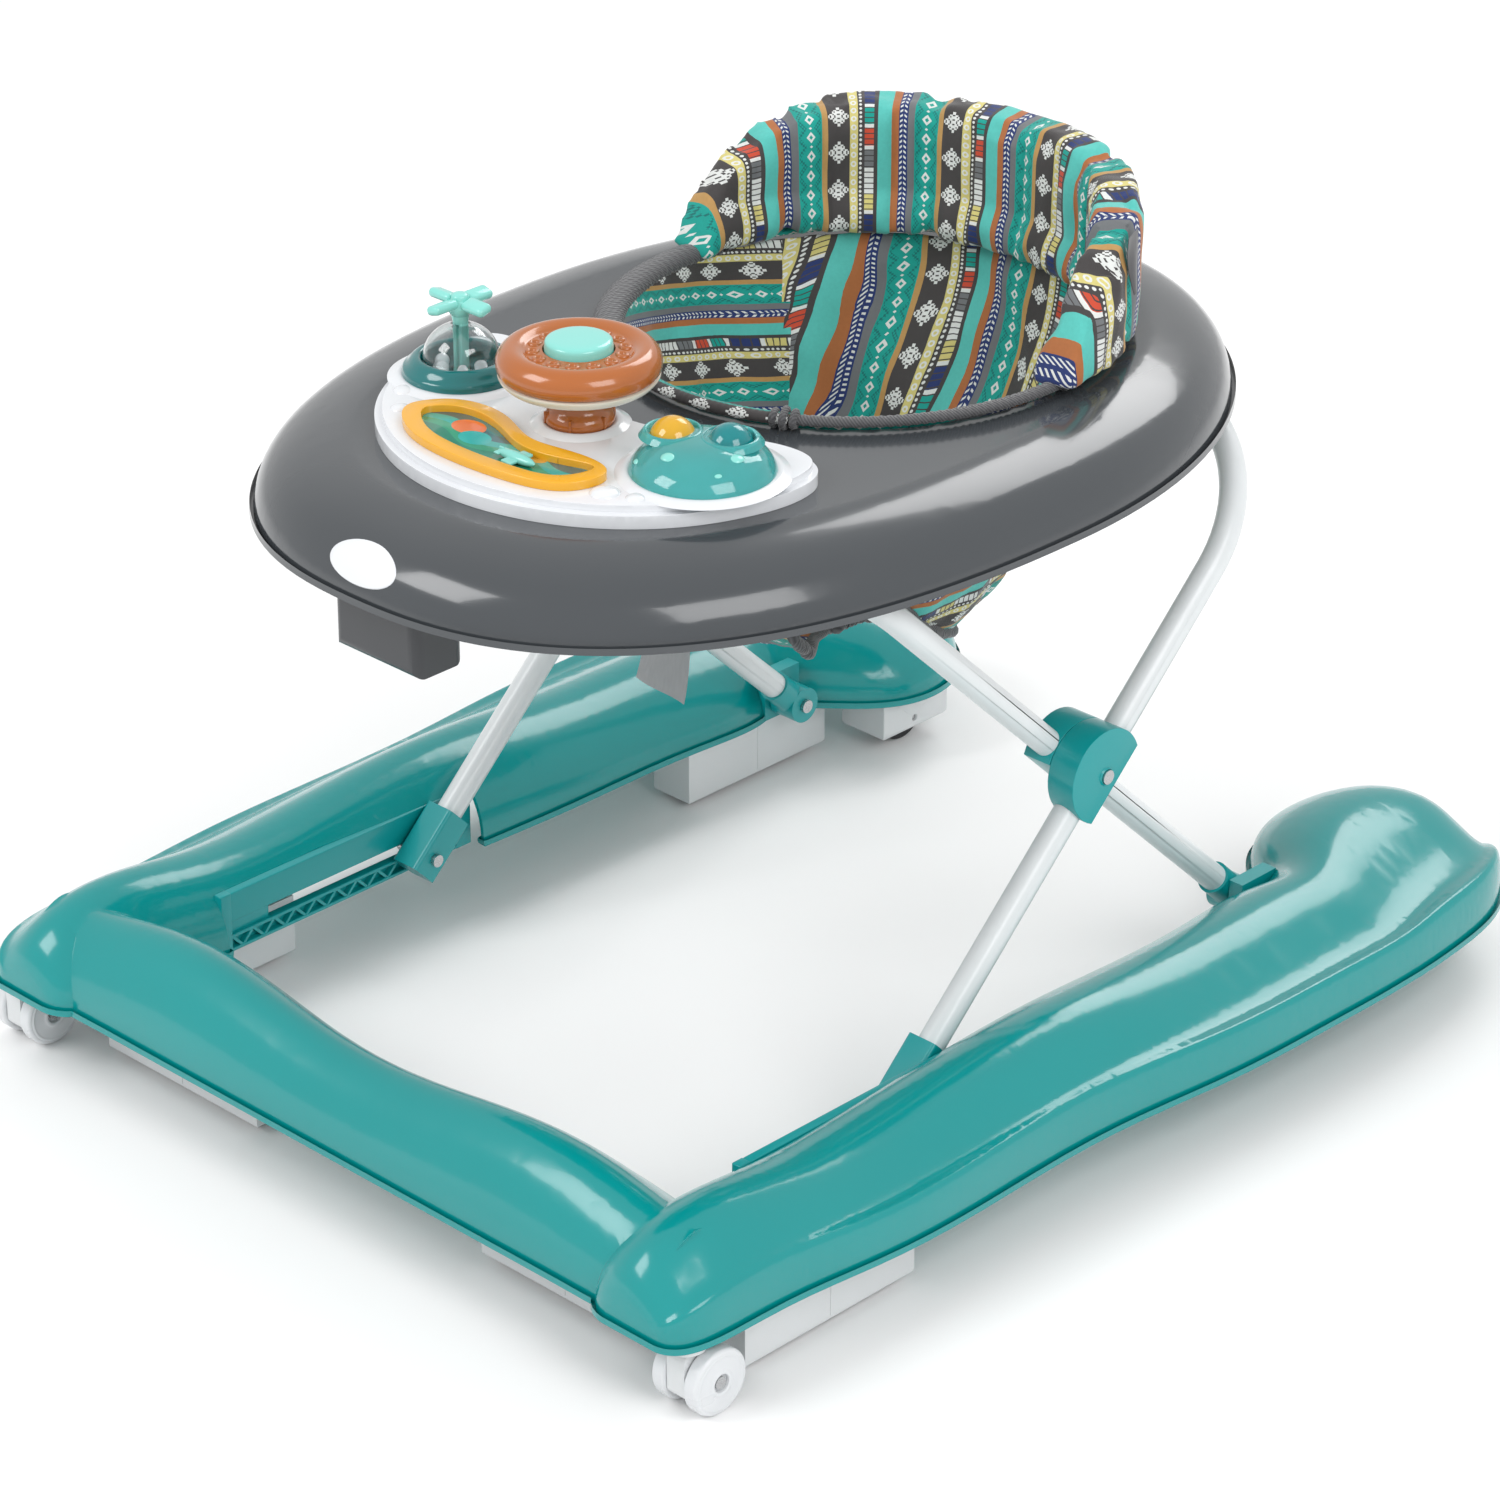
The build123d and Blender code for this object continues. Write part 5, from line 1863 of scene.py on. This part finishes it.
@dataclass
class Studio:
    """Pale floor, soft lights and the camera."""

    camera_at: tuple[float, float, float] = (2.231, -2.305, 1.8405)
    azimuth: float = 44.43
    elevation: float = 26.88
    lens: float = 128.3
    shift: tuple[float, float] = (0.0052, -0.0238)

    def camera(self) -> None:
        """Places the camera."""
        data = bpy.data.cameras.new("camera")
        data.lens = self.lens
        data.sensor_width = 36.0
        data.shift_x, data.shift_y = self.shift
        data.clip_start, data.clip_end = 0.05, 60.0
        eye = bpy.data.objects.new("camera", data)
        bpy.context.scene.collection.objects.link(eye)
        turn, tilt = math.radians(self.azimuth), math.radians(self.elevation)
        back = Vector((math.sin(turn) * math.cos(tilt), -math.cos(turn) * math.cos(tilt), math.sin(tilt)))
        eye.location = self.camera_at
        eye.rotation_mode = "QUATERNION"
        eye.rotation_quaternion = (-back).to_track_quat("-Z", "Y")
        bpy.context.scene.camera = eye

    def softbox(self, name: str, at: Sequence[float], size: float, power: float) -> None:
        """A square soft light aimed at the walker.

        Args:
            name: its name.
            at: where it hangs, in metres.
            size: its side.
            power: watts.
        """
        data = bpy.data.lights.new(name, "AREA")
        data.shape = "SQUARE"
        data.size = size
        data.energy = power
        light = bpy.data.objects.new(name, data)
        bpy.context.scene.collection.objects.link(light)
        light.location = at
        aim = Vector((0, 0, 0.25)) - Vector(at)
        light.rotation_mode = "QUATERNION"
        light.rotation_quaternion = aim.to_track_quat("-Z", "Y")

    def floor(self) -> None:
        """Lays the pale floor."""
        mesh = bmesh.new()
        bmesh.ops.create_grid(mesh, x_segments=2, y_segments=2, size=14.0)
        data = bpy.data.meshes.new("floor")
        mesh.to_mesh(data)
        mesh.free()
        ground = bpy.data.objects.new("floor", data)
        bpy.context.scene.collection.objects.link(ground)
        paint = Paint("studio_floor")
        paint.set(Base_Color=(0.94, 0.94, 0.94, 1.0), Roughness=0.85, Specular_IOR_Level=0.2)
        data.materials.append(paint.material)

    def build(self) -> None:
        """Sets the studio up."""
        self.camera()
        self.floor()
        world = bpy.data.worlds.new("studio")
        world.use_nodes = True
        world.node_tree.nodes["Background"].inputs[0].default_value = (1.0, 1.0, 1.0, 1.0)
        world.node_tree.nodes["Background"].inputs[1].default_value = 0.78
        bpy.context.scene.world = world
        self.softbox("key", (-1.2, -2.6, 2.6), 1.6, 46.0)
        self.softbox("fill", (2.8, -0.6, 2.4), 1.8, 44.0)
        self.softbox("back", (-0.6, 2.4, 2.4), 1.4, 26.0)
        bpy.context.scene.view_settings.view_transform = "Standard"


def main() -> None:
    """Builds the walker's looks in order."""
    Studio().build()
    FrameParts().build()
    for node, body, finish in (("base_shell", "base", Finish.teal_shell),
                               ("tray_shell", "tray", Finish.charcoal_gloss)):
        Lip(node, body, finish).build()
    SlideTracks().build()
    PadSeams().build()
    CasterCaps().build()
    CrossCovers().build()
    TrayTrim().build()
    Backrest().build()
    Sling().build(trim=Hem().build())
    Labels().build()
    ToyPanel().build()
    SteeringToy().build()
    PropellerToy().build()
    PictureToy().build()
    BubbleToy().build()


if __name__ == "__main__":
    main()
